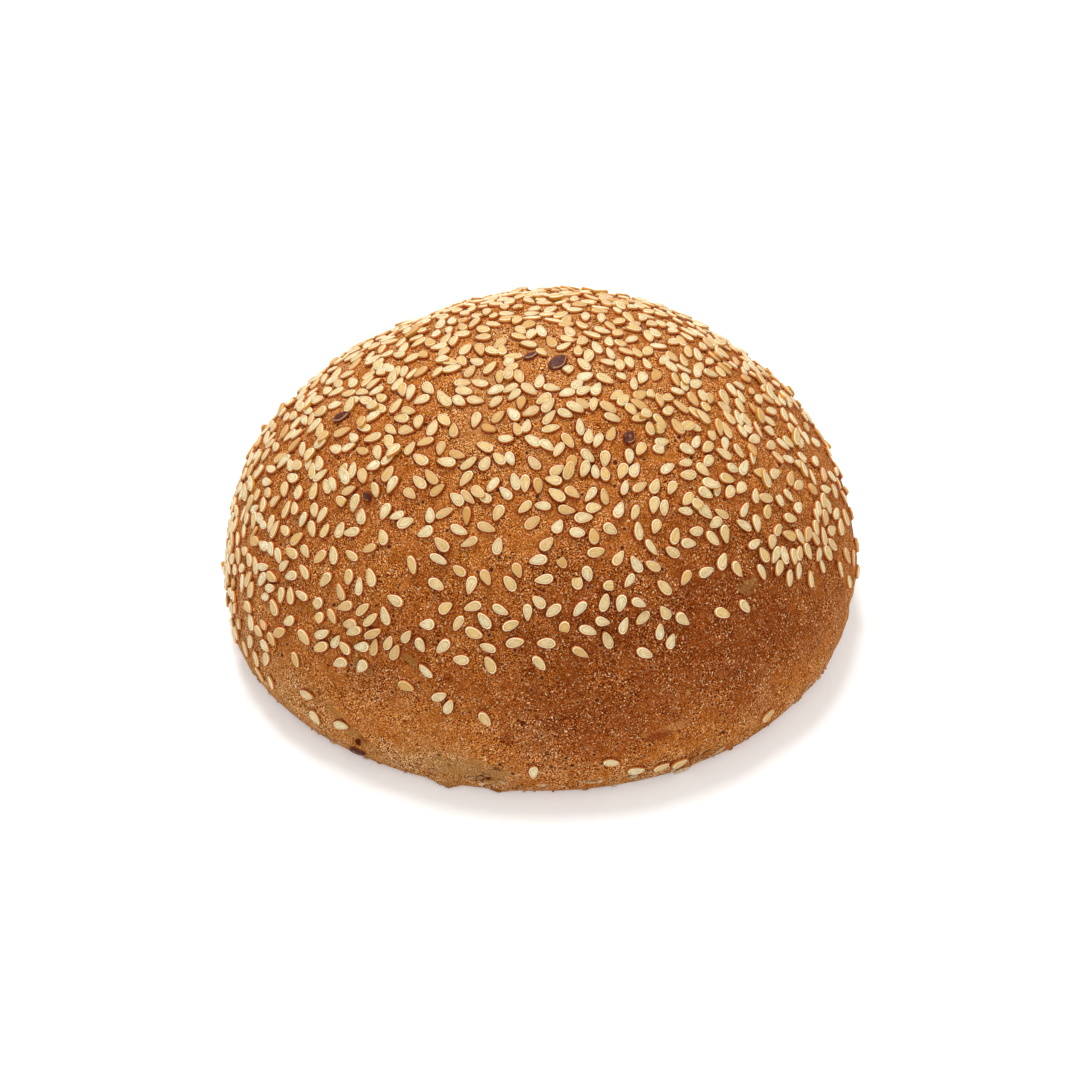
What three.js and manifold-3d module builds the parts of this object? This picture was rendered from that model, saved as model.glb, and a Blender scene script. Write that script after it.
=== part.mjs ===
import * as THREE from 'three';
import { mergeVertices } from 'three/addons/utils/BufferGeometryUtils.js';
import Module from 'manifold-3d';

const wasm = await Module();
wasm.setup();

// A multigrain burger bun that rests on its flat base: an uneven domed loaf with sesame seeds baked
// onto its crust, thick over the crown and thinning towards the base. Millimetres, +Z up, the origin
// at the middle of the base. Azimuths are degrees about Z from +X, and the photographed side is at -90.

// The loaf's upright profile: a dome over a short wall that curves in to the flat base.
const HALF_WIDTH = 59.4;
const DOME_HEIGHT = 53;
const WALL_HEIGHT = 11.5;
const FOOT_RADIUS = 54.8;
const DOME_FULLNESS = 1.81;
const WALL_FULLNESS = 2.6;
const HEIGHT = DOME_HEIGHT + WALL_HEIGHT;

// What the oven did to it: slightly oval and three-cornered in plan, and leaning.
const OVAL = 0.045;
const OVAL_AZIMUTH = 15;
const THREE_CORNERED = 0.012;
const CORNER_AZIMUTH = -68;
const LEAN = -0.022;

// Broad swells and hollows, seen from a point inside the loaf: direction, reach and rise.
const HEART_HEIGHT = 24;
const SWELLS = [
  { azimuth: 125, elevation: 33, reach: 17, rise: -0.7 },
  { azimuth: 165, elevation: 9, reach: 17, rise: 0.6 },
  { azimuth: -175, elevation: -7, reach: 17, rise: -0.6 },
  { azimuth: 24, elevation: 6, reach: 17, rise: 0.3 },
  { azimuth: -75, elevation: 48, reach: 20, rise: -0.5 },
  { azimuth: -138, elevation: 30, reach: 20, rise: 0.4 },
  { azimuth: -30, elevation: 30, reach: 20, rise: 0.4 },
  { azimuth: -100, elevation: 5, reach: 16, rise: -0.4 },
  { azimuth: 85, elevation: 5, reach: 24, rise: 0.4 },
  { azimuth: 20, elevation: 65, reach: 14, rise: -0.4 },
  { azimuth: -20, elevation: -8, reach: 18, rise: 0.6 },
  { azimuth: -150, elevation: -12, reach: 14, rise: 0.7 },
];
const BASE_FADE_HEIGHT = 9;

// How finely the loaf is cut into faces.
const PROFILE_STEPS = 240;
const LOAF_SIDES = 44;
const DOME_ROWS = 12;
const WALL_ROWS = 5;
const BASE_RINGS = 1;

// A sesame seed: a drop of seven sides with its widest level just above the crust and its root sunk in.
const SEED_LENGTHS = { least: 3.45, most: 3.85 };
const SEED_WIDTHS = { least: 1.85, most: 2.1 };
const SEED_HEIGHT = 0.8;
const SEED_RIM = 0.34;
const SEED_ROOT = 1.3;
const SEED_SIDES = 7;
const SEED_TAPER = 0.28;

// Where the seeds lie. They reach down to an edge that dips on one side of the loaf.
const SEED_COUNT = 280;
const SEED_SPACING = 5.9;
const RANDOM_START = 20117;
const EDGE_ARC = 77;
const EDGE_SWING = 11;
const EDGE_HIGH_AZIMUTH = -65;
const EDGE_DIP = 10;
const EDGE_DIP_AZIMUTH = -165;
const EDGE_DIP_WIDTH = 28;
const EDGE_SOFTNESS = 4;
const FRONT_AZIMUTH = -85;
const FRONT_THINNING = 0.5;
const THINNING_START = 25;
const THINNING_END = 62;

// Seeds that stand out: loose ones stuck low on the wall, and darker, longer grains of the mixed dough.
// Arc is the way down the profile from the crown, turn is the seed's own heading on the crust.
const STRAY_SEEDS = [
  { azimuth: -101, arc: 79, turn: 52 },
  { azimuth: -110, arc: 76, turn: -34 },
  { azimuth: -108, arc: 77.5, turn: -72 },
  { azimuth: -116.5, arc: 75.5, turn: 10 },
  { azimuth: -137, arc: 86, turn: -8 },
  { azimuth: -135, arc: 90, turn: 51 },
  { azimuth: -129.5, arc: 89.5, turn: -8 },
  { azimuth: -92, arc: 90, turn: 89 },
  { azimuth: -77.5, arc: 89, turn: 18 },
  { azimuth: -72.5, arc: 92.5, turn: -9 },
  { azimuth: -67.5, arc: 93, turn: -21 },
  { azimuth: -64, arc: 93, turn: -18 },
  { azimuth: -43.5, arc: 91.5, turn: -19 },
];
const DARK_GRAINS = [
  { azimuth: -67.5, arc: 7, turn: -30, length: 4.7, width: 2.7 },
  { azimuth: -117, arc: 5.5, turn: -48, length: 2.8, width: 1.5 },
  { azimuth: -169.5, arc: 39.5, turn: -76, length: 3.8, width: 1.9 },
  { azimuth: -140.5, arc: 45, turn: 20, length: 2.2, width: 1.4 },
  { azimuth: -52.5, arc: 27.5, turn: -33, length: 3.0, width: 2.3 },
  { azimuth: -126.5, arc: 94.5, turn: 0, length: 3.6, width: 1.6 },
];

// Keeps the middle of the bun's box over the origin.
const MIDDLE_X = -0.7;
const MIDDLE_Y = 0.2;

const bunMaterial = new THREE.MeshStandardMaterial({ color: 0xb5763c, roughness: 0.7, metalness: 0 });

function radians(degrees) {
  return (degrees * Math.PI) / 180;
}

// A row of random numbers from 0 to 1 that is the same each time.
function randomRow(start) {
  const modulus = 2147483647;
  const factor = 16807;
  let state = start;
  return () => {
    state = (state * factor) % modulus;
    return state / modulus;
  };
}

function smoothStep(low, high, value) {
  const t = Math.min(1, Math.max(0, (value - low) / (high - low)));
  return t * t * (3 - 2 * t);
}

// The profile from the crown to the foot, as radius, height and arc so far.
function profileTable() {
  const table = [];
  const add = (radius, height) => {
    const last = table.at(-1);
    const step = last ? Math.hypot(radius - last.radius, height - last.height) : 0;
    table.push({ radius, height, arc: (last ? last.arc : 0) + step });
  };
  for (let i = 0; i <= PROFILE_STEPS; i++) {
    const angle = (Math.PI / 2) * (1 - i / PROFILE_STEPS);
    const radius = HALF_WIDTH * Math.max(0, Math.cos(angle)) ** (2 / DOME_FULLNESS);
    add(i === 0 ? 0 : radius, WALL_HEIGHT + DOME_HEIGHT * Math.sin(angle) ** (2 / DOME_FULLNESS));
  }
  for (let i = 1; i <= PROFILE_STEPS; i++) {
    const angle = (Math.PI / 2) * (i / PROFILE_STEPS);
    const inward = Math.max(0, Math.cos(angle)) ** (2 / WALL_FULLNESS);
    const radius = FOOT_RADIUS + (HALF_WIDTH - FOOT_RADIUS) * inward;
    add(radius, WALL_HEIGHT * (1 - Math.sin(angle) ** (2 / WALL_FULLNESS)));
  }
  return table;
}

const profile = profileTable();
const WIDEST_ARC = profile[PROFILE_STEPS].arc;
const FOOT_ARC = profile.at(-1).arc;

// The profile's radius and height at a way down from the crown.
function profileAt(arc) {
  let high = 1;
  while (high < profile.length - 1 && profile[high].arc < arc) high++;
  const below = profile[high - 1];
  const above = profile[high];
  const part = (arc - below.arc) / (above.arc - below.arc);
  return {
    radius: below.radius + part * (above.radius - below.radius),
    height: below.height + part * (above.height - below.height),
  };
}

// A point of the plain profile, made oval, three-cornered, leaning and swollen.
function baked(azimuth, radius, height) {
  const oval = OVAL * Math.cos(2 * (azimuth - radians(OVAL_AZIMUTH)));
  const corners = THREE_CORNERED * Math.cos(3 * (azimuth - radians(CORNER_AZIMUTH)));
  const reach = radius * (1 + oval + corners);
  const level = height / HEIGHT;
  const x = reach * Math.cos(azimuth);
  const y = reach * Math.sin(azimuth);
  const point = new THREE.Vector3(x, y, height + LEAN * x * 4 * level * (1 - level));
  const heart = new THREE.Vector3(0, 0, HEART_HEIGHT);
  const outward = point.clone().sub(heart).normalize();
  const rise = SWELLS.reduce((sum, swell) => sum + swellRise(swell, outward), 0);
  point.addScaledVector(outward, rise * smoothStep(0, BASE_FADE_HEIGHT, height));
  return point.add(new THREE.Vector3(-MIDDLE_X, -MIDDLE_Y, 0));
}

function swellRise({ azimuth, elevation, reach, rise }, outward) {
  const flat = Math.cos(radians(elevation));
  const towards = new THREE.Vector3(
    flat * Math.cos(radians(azimuth)),
    flat * Math.sin(radians(azimuth)),
    Math.sin(radians(elevation)),
  );
  const apart = towards.angleTo(outward) / radians(reach);
  return rise * Math.exp(-apart * apart);
}

// The crust's point at an azimuth and a way down from the crown.
function crustPoint(azimuth, arc) {
  const { radius, height } = profileAt(arc);
  return baked(azimuth, radius, height);
}

// The crust's point with its directions round the loaf, out of it and down it.
function crustFrame(azimuth, arc) {
  const step = 0.5;
  const point = crustPoint(azimuth, arc);
  const down = crustPoint(azimuth, arc + step).sub(crustPoint(azimuth, arc - step));
  const turn = step / Math.max(1, Math.hypot(point.x, point.y));
  const round = crustPoint(azimuth + turn, arc).sub(crustPoint(azimuth - turn, arc)).normalize();
  const out = down.cross(round).normalize();
  return { point, round, out, along: round.clone().cross(out) };
}

// The plain loaf: rows of points round the profile, closed by a crown point and a flat base.
function loafGeometry() {
  const arcs = [];
  for (let row = 1; row <= DOME_ROWS; row++) arcs.push((WIDEST_ARC * row) / DOME_ROWS);
  for (let row = 1; row <= WALL_ROWS; row++) {
    arcs.push(WIDEST_ARC + ((FOOT_ARC - WIDEST_ARC) * row) / WALL_ROWS);
  }
  const outline = [];
  for (let ring = 0; ring <= BASE_RINGS; ring++) {
    outline.push(new THREE.Vector2((FOOT_RADIUS * ring) / (BASE_RINGS + 1), 0));
  }
  for (const arc of arcs.reverse()) {
    const { radius, height } = profileAt(arc);
    outline.push(new THREE.Vector2(radius, height));
  }
  outline.push(new THREE.Vector2(0, HEIGHT));
  const geometry = new THREE.LatheGeometry(outline, LOAF_SIDES);
  geometry.rotateX(Math.PI / 2);
  const position = geometry.getAttribute('position');
  for (let i = 0; i < position.count; i++) {
    const radius = Math.hypot(position.getX(i), position.getY(i));
    const azimuth = Math.atan2(position.getY(i), position.getX(i));
    const point = baked(azimuth, radius, position.getZ(i));
    position.setXYZ(i, point.x, point.y, point.z);
  }
  return geometry;
}

// A seed lying flat with its tip towards +X: a ball of two cones, drawn out to a drop.
function seedGeometry(length, width) {
  const geometry = new THREE.SphereGeometry(1, SEED_SIDES, 2);
  geometry.rotateX(Math.PI / 2);
  geometry.rotateZ(Math.PI);
  const position = geometry.getAttribute('position');
  for (let i = 0; i < position.count; i++) {
    const x = position.getX(i);
    const level = Math.round(position.getZ(i));
    const height = [-SEED_ROOT, SEED_RIM, SEED_HEIGHT][level + 1];
    const y = position.getY(i) * (1 - SEED_TAPER * x);
    position.setXYZ(i, (x * length) / 2, (y * width) / 2, height);
  }
  return geometry;
}

// A seed laid on the crust at its place and heading.
function laidSeed({ azimuth, arc, turn, length, width }) {
  const { point, round, out, along } = crustFrame(radians(azimuth), arc);
  const heading = radians(turn);
  const tip = round.clone().multiplyScalar(Math.cos(heading)).addScaledVector(along, Math.sin(heading));
  const side = out.clone().cross(tip);
  const place = new THREE.Matrix4().makeBasis(tip, side, out).setPosition(point);
  return seedGeometry(length, width).applyMatrix4(place);
}

// How thickly the seeds lie at a place, from 0 to 1.
function seedCover(azimuth, arc) {
  const fromDip = Math.abs(THREE.MathUtils.euclideanModulo(azimuth - EDGE_DIP_AZIMUTH + 180, 360) - 180);
  const swing = EDGE_SWING * Math.cos(radians(azimuth - EDGE_HIGH_AZIMUTH));
  const edge = EDGE_ARC - swing + EDGE_DIP * Math.exp(-((fromDip / EDGE_DIP_WIDTH) ** 2));
  const front = (1 + Math.cos(radians(azimuth - FRONT_AZIMUTH))) / 2;
  const thinned = 1 - FRONT_THINNING * front * smoothStep(THINNING_START, THINNING_END, arc);
  return thinned * (1 - smoothStep(edge - EDGE_SOFTNESS, edge + EDGE_SOFTNESS, arc));
}

// The large seeds: places drawn at random over the crust, and kept where they lie clear of the others.
function scatteredSeeds(taken) {
  const random = randomRow(RANDOM_START);
  const points = taken.map(({ azimuth, arc }) => crustPoint(radians(azimuth), arc));
  const seeds = [];
  while (seeds.length < SEED_COUNT) {
    const azimuth = 360 * random() - 180;
    const arc = FOOT_ARC * random();
    const luck = random();
    const turn = 360 * random();
    const length = THREE.MathUtils.lerp(SEED_LENGTHS.least, SEED_LENGTHS.most, random());
    const width = THREE.MathUtils.lerp(SEED_WIDTHS.least, SEED_WIDTHS.most, random());
    const point = crustPoint(radians(azimuth), arc);
    const wanted = (seedCover(azimuth, arc) * profileAt(arc).radius) / HALF_WIDTH;
    const crowded = points.some((other) => other.distanceTo(point) < SEED_SPACING);
    if (luck > wanted || crowded) continue;
    points.push(point);
    seeds.push({ azimuth, arc, turn, length, width });
  }
  return seeds;
}

// A closed geometry as a solid that can be joined to others.
function solid(geometry) {
  const bare = geometry.clone();
  bare.deleteAttribute('normal');
  bare.deleteAttribute('uv');
  const merged = mergeVertices(bare);
  const vertProperties = Float32Array.from(merged.getAttribute('position').array);
  const triVerts = Uint32Array.from(merged.index.array);
  return new wasm.Manifold(new wasm.Mesh({ numProp: 3, vertProperties, triVerts }));
}

function geometryOf(manifold) {
  const mesh = manifold.getMesh();
  const geometry = new THREE.BufferGeometry();
  geometry.setAttribute('position', new THREE.BufferAttribute(mesh.vertProperties, 3));
  geometry.setIndex(new THREE.BufferAttribute(mesh.triVerts, 1));
  geometry.computeVertexNormals();
  return geometry;
}

const leastSeed = { length: SEED_LENGTHS.least, width: SEED_WIDTHS.least };
const strays = STRAY_SEEDS.map((seed) => ({ ...seed, ...leastSeed }));
const special = [...DARK_GRAINS, ...strays];
const toppings = [...special, ...scatteredSeeds(special)];
const bunSolid = toppings.reduce((loaf, seed) => loaf.add(solid(laidSeed(seed))), solid(loafGeometry()));

const bun = new THREE.Mesh(geometryOf(bunSolid), bunMaterial);
bun.name = 'bun';

const model = new THREE.Group();
model.add(bun);

export default model;
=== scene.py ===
import logging
from collections.abc import Iterable
from dataclasses import dataclass, field
from enum import Enum
from math import cos, degrees, pi, radians, sin

import bpy
import numpy as np
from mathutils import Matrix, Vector
from mathutils.bvhtree import BVHTree


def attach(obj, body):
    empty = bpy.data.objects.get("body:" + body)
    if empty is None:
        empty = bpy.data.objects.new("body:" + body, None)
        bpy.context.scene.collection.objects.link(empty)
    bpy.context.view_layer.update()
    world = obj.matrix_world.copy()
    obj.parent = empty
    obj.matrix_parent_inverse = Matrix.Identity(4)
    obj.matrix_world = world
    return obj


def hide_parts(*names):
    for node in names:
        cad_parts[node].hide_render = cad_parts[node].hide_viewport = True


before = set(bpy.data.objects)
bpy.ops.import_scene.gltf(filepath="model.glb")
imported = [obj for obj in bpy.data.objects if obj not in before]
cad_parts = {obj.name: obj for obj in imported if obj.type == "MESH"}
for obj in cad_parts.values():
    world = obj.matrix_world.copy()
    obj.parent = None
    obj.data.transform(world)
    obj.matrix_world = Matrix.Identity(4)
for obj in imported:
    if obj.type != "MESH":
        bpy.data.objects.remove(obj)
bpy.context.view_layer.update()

# A multigrain burger bun: a browned, uneven loaf strewn with sesame seeds, on a pale floor.
# Sizes are millimetres unless a name says otherwise, and MM makes them metres. Azimuths are
# degrees about Z from +X, and the photographed side is at -90. Arc is the way down the crust
# from the crown.

MM = 0.001
BODY = "root"
NODE = "bun"
RELIEF_GROUP = "relief"

log = logging.getLogger("bun")
Socket = bpy.types.NodeSocket
Piece = bpy.types.Object


def smooth_step(low: float, high: float, value: np.ndarray) -> np.ndarray:
    """Returns the numbers eased from 0, at low, to 1, at high."""
    part = np.clip((value - low) / (high - low), 0.0, 1.0)
    return part * part * (3 - 2 * part)


def unit(vectors: np.ndarray) -> np.ndarray:
    """Returns the vectors at length 1."""
    return vectors / np.linalg.norm(vectors, axis=-1, keepdims=True)


def between(ends: tuple, share: np.ndarray | float) -> np.ndarray | float:
    """Returns the value that lies a share of the way from the first end to the second."""
    return ends[0] + (ends[1] - ends[0]) * share


def columns(things: Iterable, *names: str) -> list[np.ndarray]:
    """Returns the things' values of each name as an array."""
    return [np.array([getattr(thing, name) for thing in things]) for name in names]


def get_points(piece: Piece) -> np.ndarray:
    """Reads a piece's points.

    Args:
        piece: The piece.

    Returns:
        The points in metres, as rows.
    """
    points = np.empty(len(piece.data.vertices) * 3)
    piece.data.vertices.foreach_get("co", points)
    return points.reshape(-1, 3)


def set_points(piece: Piece, points: np.ndarray) -> None:
    """Moves a piece's points to places in millimetres."""
    piece.data.vertices.foreach_set("co", (points * MM).ravel())
    piece.data.update()


def write_marks(mesh: bpy.types.Mesh, marks: dict[str, np.ndarray]) -> None:
    """Writes numbers for each point on a mesh, under the names that the finishes read."""
    for name, values in marks.items():
        mesh.attributes.new(name, "FLOAT", "POINT").data.foreach_set("value", values)


def press_clouds(piece: Piece, name: str, size: float, strength: float, detail: int = 2, group: str = "") -> None:
    """Lays soft lumps on a piece by a displace modifier.

    Args:
        piece: The piece, which is active.
        name: The lumps' name.
        size: How wide they are, in the scene's units.
        strength: How high they are, from the lowest hollow to the highest top.
        detail: How many finer layers they have.
        group: The vertex group that fades them, if any.
    """
    clouds = bpy.data.textures.new(name, "CLOUDS")
    clouds.noise_scale = size
    clouds.noise_depth = detail
    press = piece.modifiers.new(name, "DISPLACE")
    press.texture = clouds
    press.texture_coords = "LOCAL"
    press.vertex_group = group
    press.strength = strength
    bpy.ops.object.modifier_apply(modifier=press.name)


@dataclass
class RandomRow:
    """A row of random numbers from 0 to 1 that is the same each time."""

    state: int
    modulus: int = 2147483647
    factor: int = 16807

    def draw(self) -> float:
        """Returns the next number."""
        self.state = self.state * self.factor % self.modulus
        return self.state / self.modulus

    def table(self, rows: int, draws: int) -> np.ndarray:
        """Returns the next numbers in rows of that many draws, one row for each thing placed."""
        return np.array([self.draw() for _ in range(rows * draws)]).reshape(rows, draws)


class NodeBoard:
    """A material's nodes, added and joined in code."""

    def __init__(self, name: str) -> None:
        """Starts a material, with the Object coordinates as its place.

        Args:
            name: The material's name.
        """
        self.material = bpy.data.materials.new(name)
        self.material.use_nodes = True
        self.tree = self.material.node_tree
        self.tree.nodes.clear()
        self.place = self.add("TexCoord").outputs["Object"]

    def add(self, kind: str, inputs: dict | None = None, **settings: object) -> bpy.types.Node:
        """Adds a node.

        Args:
            kind: The node's type after ShaderNode.
            inputs: Values, or sockets to join, by the input's name or number.
            **settings: The node's own properties.

        Returns:
            The new node.
        """
        node = self.tree.nodes.new(f"ShaderNode{kind}")
        for name, value in settings.items():
            setattr(node, name, value)
        for name, value in (inputs or {}).items():
            if isinstance(value, Socket):
                self.tree.links.new(value, node.inputs[name])
            else:
                node.inputs[name].default_value = value
        return node

    def math(self, operation: str, *values: object, clamp: bool = False) -> Socket:
        """Works out one number, kept from 0 to 1 if clamp says so, from other numbers or sockets."""
        return self.add("Math", dict(enumerate(values)), operation=operation, use_clamp=clamp).outputs[0]

    def times(self, first: object, second: object) -> Socket:
        """Multiplies two numbers or sockets."""
        return self.math("MULTIPLY", first, second)

    def vector(self, operation: str, *values: object) -> bpy.types.Node:
        """Adds a node that works out a vector or a number from vectors or sockets."""
        return self.add("VectorMath", dict(enumerate(values)), operation=operation)

    def remap(self, value: object, low: float, high: float, to_low: float = 0.0, to_high: float = 1.0,
              ease: str = "SMOOTHSTEP") -> Socket:
        """Stretches a range of values to another.

        Args:
            value: The number or socket to stretch.
            low: The value that becomes to_low.
            high: The value that becomes to_high.
            to_low: What low becomes.
            to_high: What high becomes.
            ease: LINEAR or SMOOTHSTEP.

        Returns:
            The stretched value's socket.
        """
        values = {"Value": value, "From Min": low, "From Max": high, "To Min": to_low, "To Max": to_high}
        return self.add("MapRange", values, interpolation_type=ease).outputs["Result"]

    def band(self, value: object, start: float, full: float, fading: float, gone: float) -> Socket:
        """Picks out a band of values.

        Args:
            value: The number or socket.
            start: Where the band starts.
            full: Where it is full.
            fading: Where it starts to fade.
            gone: Where it is gone.

        Returns:
            A socket that is 1 on the band and 0 beside it.
        """
        return self.times(self.remap(value, start, full), self.remap(value, gone, fading))

    def mix(self, share: object, first: object, second: object, blend: str = "MIX") -> Socket:
        """Mixes two colours.

        Args:
            share: How much of the second, as a number or socket.
            first: A colour or socket.
            second: A colour or socket.
            blend: How the second is laid on the first.

        Returns:
            The mixed colour's socket.
        """
        return self.add("Mix", {0: share, 6: first, 7: second}, data_type="RGBA", blend_type=blend).outputs[2]

    def noise(self, size: float, detail: float = 2.0, place: object = None) -> Socket:
        """Makes soft noise.

        Args:
            size: How wide its patches are.
            detail: How many finer layers it has.
            place: The socket of coordinates of its own, in metres, if it has them.

        Returns:
            The noise, from 0 to 1.
        """
        values = {"Vector": self.place if place is None else place, "Scale": 1 / (size * MM), "Detail": detail}
        return self.add("TexNoise", values).outputs["Fac"]

    def mark(self, name: str) -> Socket:
        """Reads an attribute of the piece's own."""
        return self.add("Attribute", attribute_name=name).outputs["Fac"]

    def seed_map(self) -> tuple[Socket, ...]:
        """Reads the map of a seed's own.

        Returns:
            How far along it a place lies, from -1 to 1, how far beside, and how far out, 1 at its outline.
        """
        spot = self.add("SeparateXYZ", {0: self.add("UVMap", uv_map="seed").outputs[0]}).outputs
        along, beside = (self.math("MULTIPLY_ADD", spot[axis], 2.0, -1.0) for axis in ("X", "Y"))
        squares = self.math("ADD", self.times(along, along), self.times(beside, beside))
        return along, beside, self.math("SQRT", squares)

    def bump(self, height: object, strength: float, depth: float) -> Socket:
        """Makes a normal from a height's socket, with a strength and a depth in millimetres."""
        return self.add("Bump", {"Height": height, "Strength": strength, "Distance": depth * MM}).outputs[0]

    def finish(self, **inputs: object) -> bpy.types.Material:
        """Closes the board with a Principled shader.

        Args:
            **inputs: The shader's inputs, with underscores for spaces.

        Returns:
            The finished material.
        """
        shader = self.add("BsdfPrincipled", {name.replace("_", " "): value for name, value in inputs.items()})
        self.add("OutputMaterial", {"Surface": shader.outputs[0]})
        return self.material


@dataclass(frozen=True)
class Fleck:
    """One kind of fleck in the crust: how far apart they may lie, which of three random numbers picks them,
    what it must pass, their radius as a share of their spacing, and how strong their colour is."""

    apart: float
    channel: int
    least: float
    reach: float
    strength: float
    colour: tuple
    swing: tuple = (0.6, 1.25)
    softness: tuple = (-0.20, 0.30)

    def scattered(self, board: NodeBoard, place: Socket) -> Socket:
        """Scatters the flecks.

        Args:
            board: The material's board.
            place: The coordinates' socket.

        Returns:
            A socket that is 1 on a fleck and 0 between.
        """
        cells = board.add("TexVoronoi", {"Vector": place, "Scale": 1 / (self.apart * MM)})
        draw = board.add("SeparateColor", {0: cells.outputs["Color"]}).outputs[self.channel]
        size = board.remap(draw, self.least, 1.0, *(self.reach * part for part in self.swing), ease="LINEAR")
        inside = board.math("SUBTRACT", size, cells.outputs["Distance"])
        return board.times(board.remap(inside, *(self.reach * part for part in self.softness)),
                           board.math("GREATER_THAN", draw, self.least))


@dataclass(frozen=True)
class CrustFinish:
    """Baked crust: brown that deepens in a band round the lower front, pale at the rim and underneath."""

    pale: tuple = (0.398, 0.160, 0.0395, 1)
    golden: tuple = (0.384, 0.115, 0.0172, 1)
    brown: tuple = (0.305, 0.078, 0.0106, 1)
    deep: tuple = (0.222, 0.047, 0.0063, 1)
    golden_depth: float = 0.34
    brown_depth: float = 0.66
    rim_depth: float = 0.08
    wall_levels: tuple = (0.0, 0.2)
    wall_depth: float = 0.28
    dark_side: tuple = (0.52, -0.85, 0.0)
    dark_side_facing: tuple = (0.1, 1.0)
    band_levels: tuple = (0.10, 0.36, 0.48, 0.84)
    band_shares: tuple = (0.25, 1.0)
    band_depth: float = 0.52
    pale_side: tuple = (-0.77, -0.64, 0.0)
    pale_side_facing: tuple = (0.2, 1.0)
    pale_side_levels: tuple = (0.62, 0.2)
    pale_side_depth: float = -0.22
    # Painted light: the crown is painted paler, standing in for the light that falls on the top.
    crown_light_levels: tuple = (0.82, 0.97)
    crown_light_depth: float = -0.14
    patch_noise: tuple = (0.3, 0.7)
    drift_size: float = 15.0
    drift_depth: float = 0.12
    patch_size: float = 4.0
    patch_depth: float = 0.06
    dust_size: float = 9.0
    dust_noise: tuple = (0.48, 0.66)
    dust_levels: tuple = (0.45, 0.12)
    dust_share: float = 0.15
    zone_size: float = 5.0
    zone_noise: tuple = (0.35, 0.65)
    quiet_zone: float = 0.47
    cloud_size: float = 2.6
    cloud_noise: tuple = (0.34, 0.66)
    cloud_low: tuple = (0.86, 0.78, 0.58, 1)
    cloud_high: tuple = (1.11, 1.16, 1.30, 1)
    fine_size: float = 0.22
    coarse_size: float = 0.6
    fine_share: float = 0.76
    low_noise: tuple = (0.495, 0.38)
    grain_low: tuple = (0.225, 0.052, 0.001, 1)
    high_noise: tuple = (0.515, 0.67)
    grain_high: tuple = (2.16, 3.28, 6.00, 1)
    wander_size: float = 0.4
    wander_reach: float = 0.4
    glint_size: float = 0.34
    glint_noise: tuple = (0.66, 0.77)
    speck: Fleck = Fleck(0.75, 0, 0.61, 0.18, 0.95, (0.96, 0.64, 0.36, 1))
    bran: Fleck = Fleck(1.0, 1, 0.47, 0.22, 0.92, (0.120, 0.012, 0.002, 1))
    pit_lip: Fleck = Fleck(2.3, 2, 0.50, 0.24, 0.5, (0.46, 0.240, 0.090, 1))
    # Painted shade: the small pits are painted near black, deeper than their sunken relief.
    pit_shade: Fleck = Fleck(2.3, 2, 0.50, 0.15, 0.95, (0.100, 0.008, 0.002, 1))
    speck_height: float = 0.5
    pit_height: float = -0.9
    scar_edge_size: float = 1.3
    scar_edge_swing: float = 0.3
    scar_edge: tuple = (0.2, 0.9)
    scar_rim: tuple = (0.0, 0.3)
    floury: tuple = (0.46, 0.240, 0.090, 1)
    floury_share: float = 0.4
    torn: tuple = (0.31, 0.155, 0.045, 1)
    torn_share: float = 0.6
    burnt: tuple = (0.19, 0.034, 0.005, 1)
    burnt_share: float = 0.65
    # Painted shade: the cracks in torn places are painted near black.
    crack_shade: tuple = (0.080, 0.014, 0.004, 1)
    crack_shade_size: float = 0.8
    crack_shade_noise: tuple = (0.55, 0.46)
    crack_shade_rim: tuple = (0.2, 0.7)
    # Painted shadow: the crust on each seed's skirt is darkened and reddened towards the seed, standing in for its
    # contact shadow.
    skirt_shade: tuple = (0.70, 0.17, 0.010, 1)
    skirt_levels: tuple = (0.10, 0.36)
    skirt_end: tuple = (0.44, 0.38)
    roughness: tuple = (0.69, 0.85)
    roughness_size: float = 3.0
    gloss: float = 0.008
    bump_strength: float = 0.85
    bump_depth: float = 0.3

    def material(self, height: float) -> bpy.types.Material:
        """Makes the crust's material, which reads the crust's own scar marks.

        Args:
            height: The loaf's height in millimetres.

        Returns:
            The material.
        """
        board = NodeBoard("crust_baked")
        colour, relief = self.skin(board, height)
        rough = board.remap(board.noise(self.roughness_size), *self.patch_noise, *self.roughness)
        return board.finish(Base_Color=colour, Roughness=rough, Specular_IOR_Level=self.gloss,
                            Normal=board.bump(relief, self.bump_strength, self.bump_depth))

    def skin(self, board: NodeBoard, height: float) -> tuple[Socket, Socket]:
        """Works out the crust's colour and fine relief.

        Args:
            board: The material's board.
            height: The loaf's height in millimetres.

        Returns:
            The colour and the height of the skin's relief.
        """
        level = board.math("DIVIDE", board.add("SeparateXYZ", {0: board.place}).outputs["Z"], height * MM)
        ramp = board.add("ValToRGB", {"Fac": self.baked_and_lit_depth(board, level)})
        stops = ramp.color_ramp.elements
        stops[0].color, stops[1].color = self.pale, self.deep
        for position, colour in ((self.golden_depth, self.golden), (self.brown_depth, self.brown)):
            stops.new(position).color = colour
        dust = board.times(board.remap(board.noise(self.dust_size, 3.0), *self.dust_noise),
                           board.remap(level, *self.dust_levels))
        colour = board.mix(board.times(dust, self.dust_share), ramp.outputs["Color"], self.floury)
        colour, relief = self.grain(board, colour)
        return self.scarred(board, colour), relief

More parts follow.
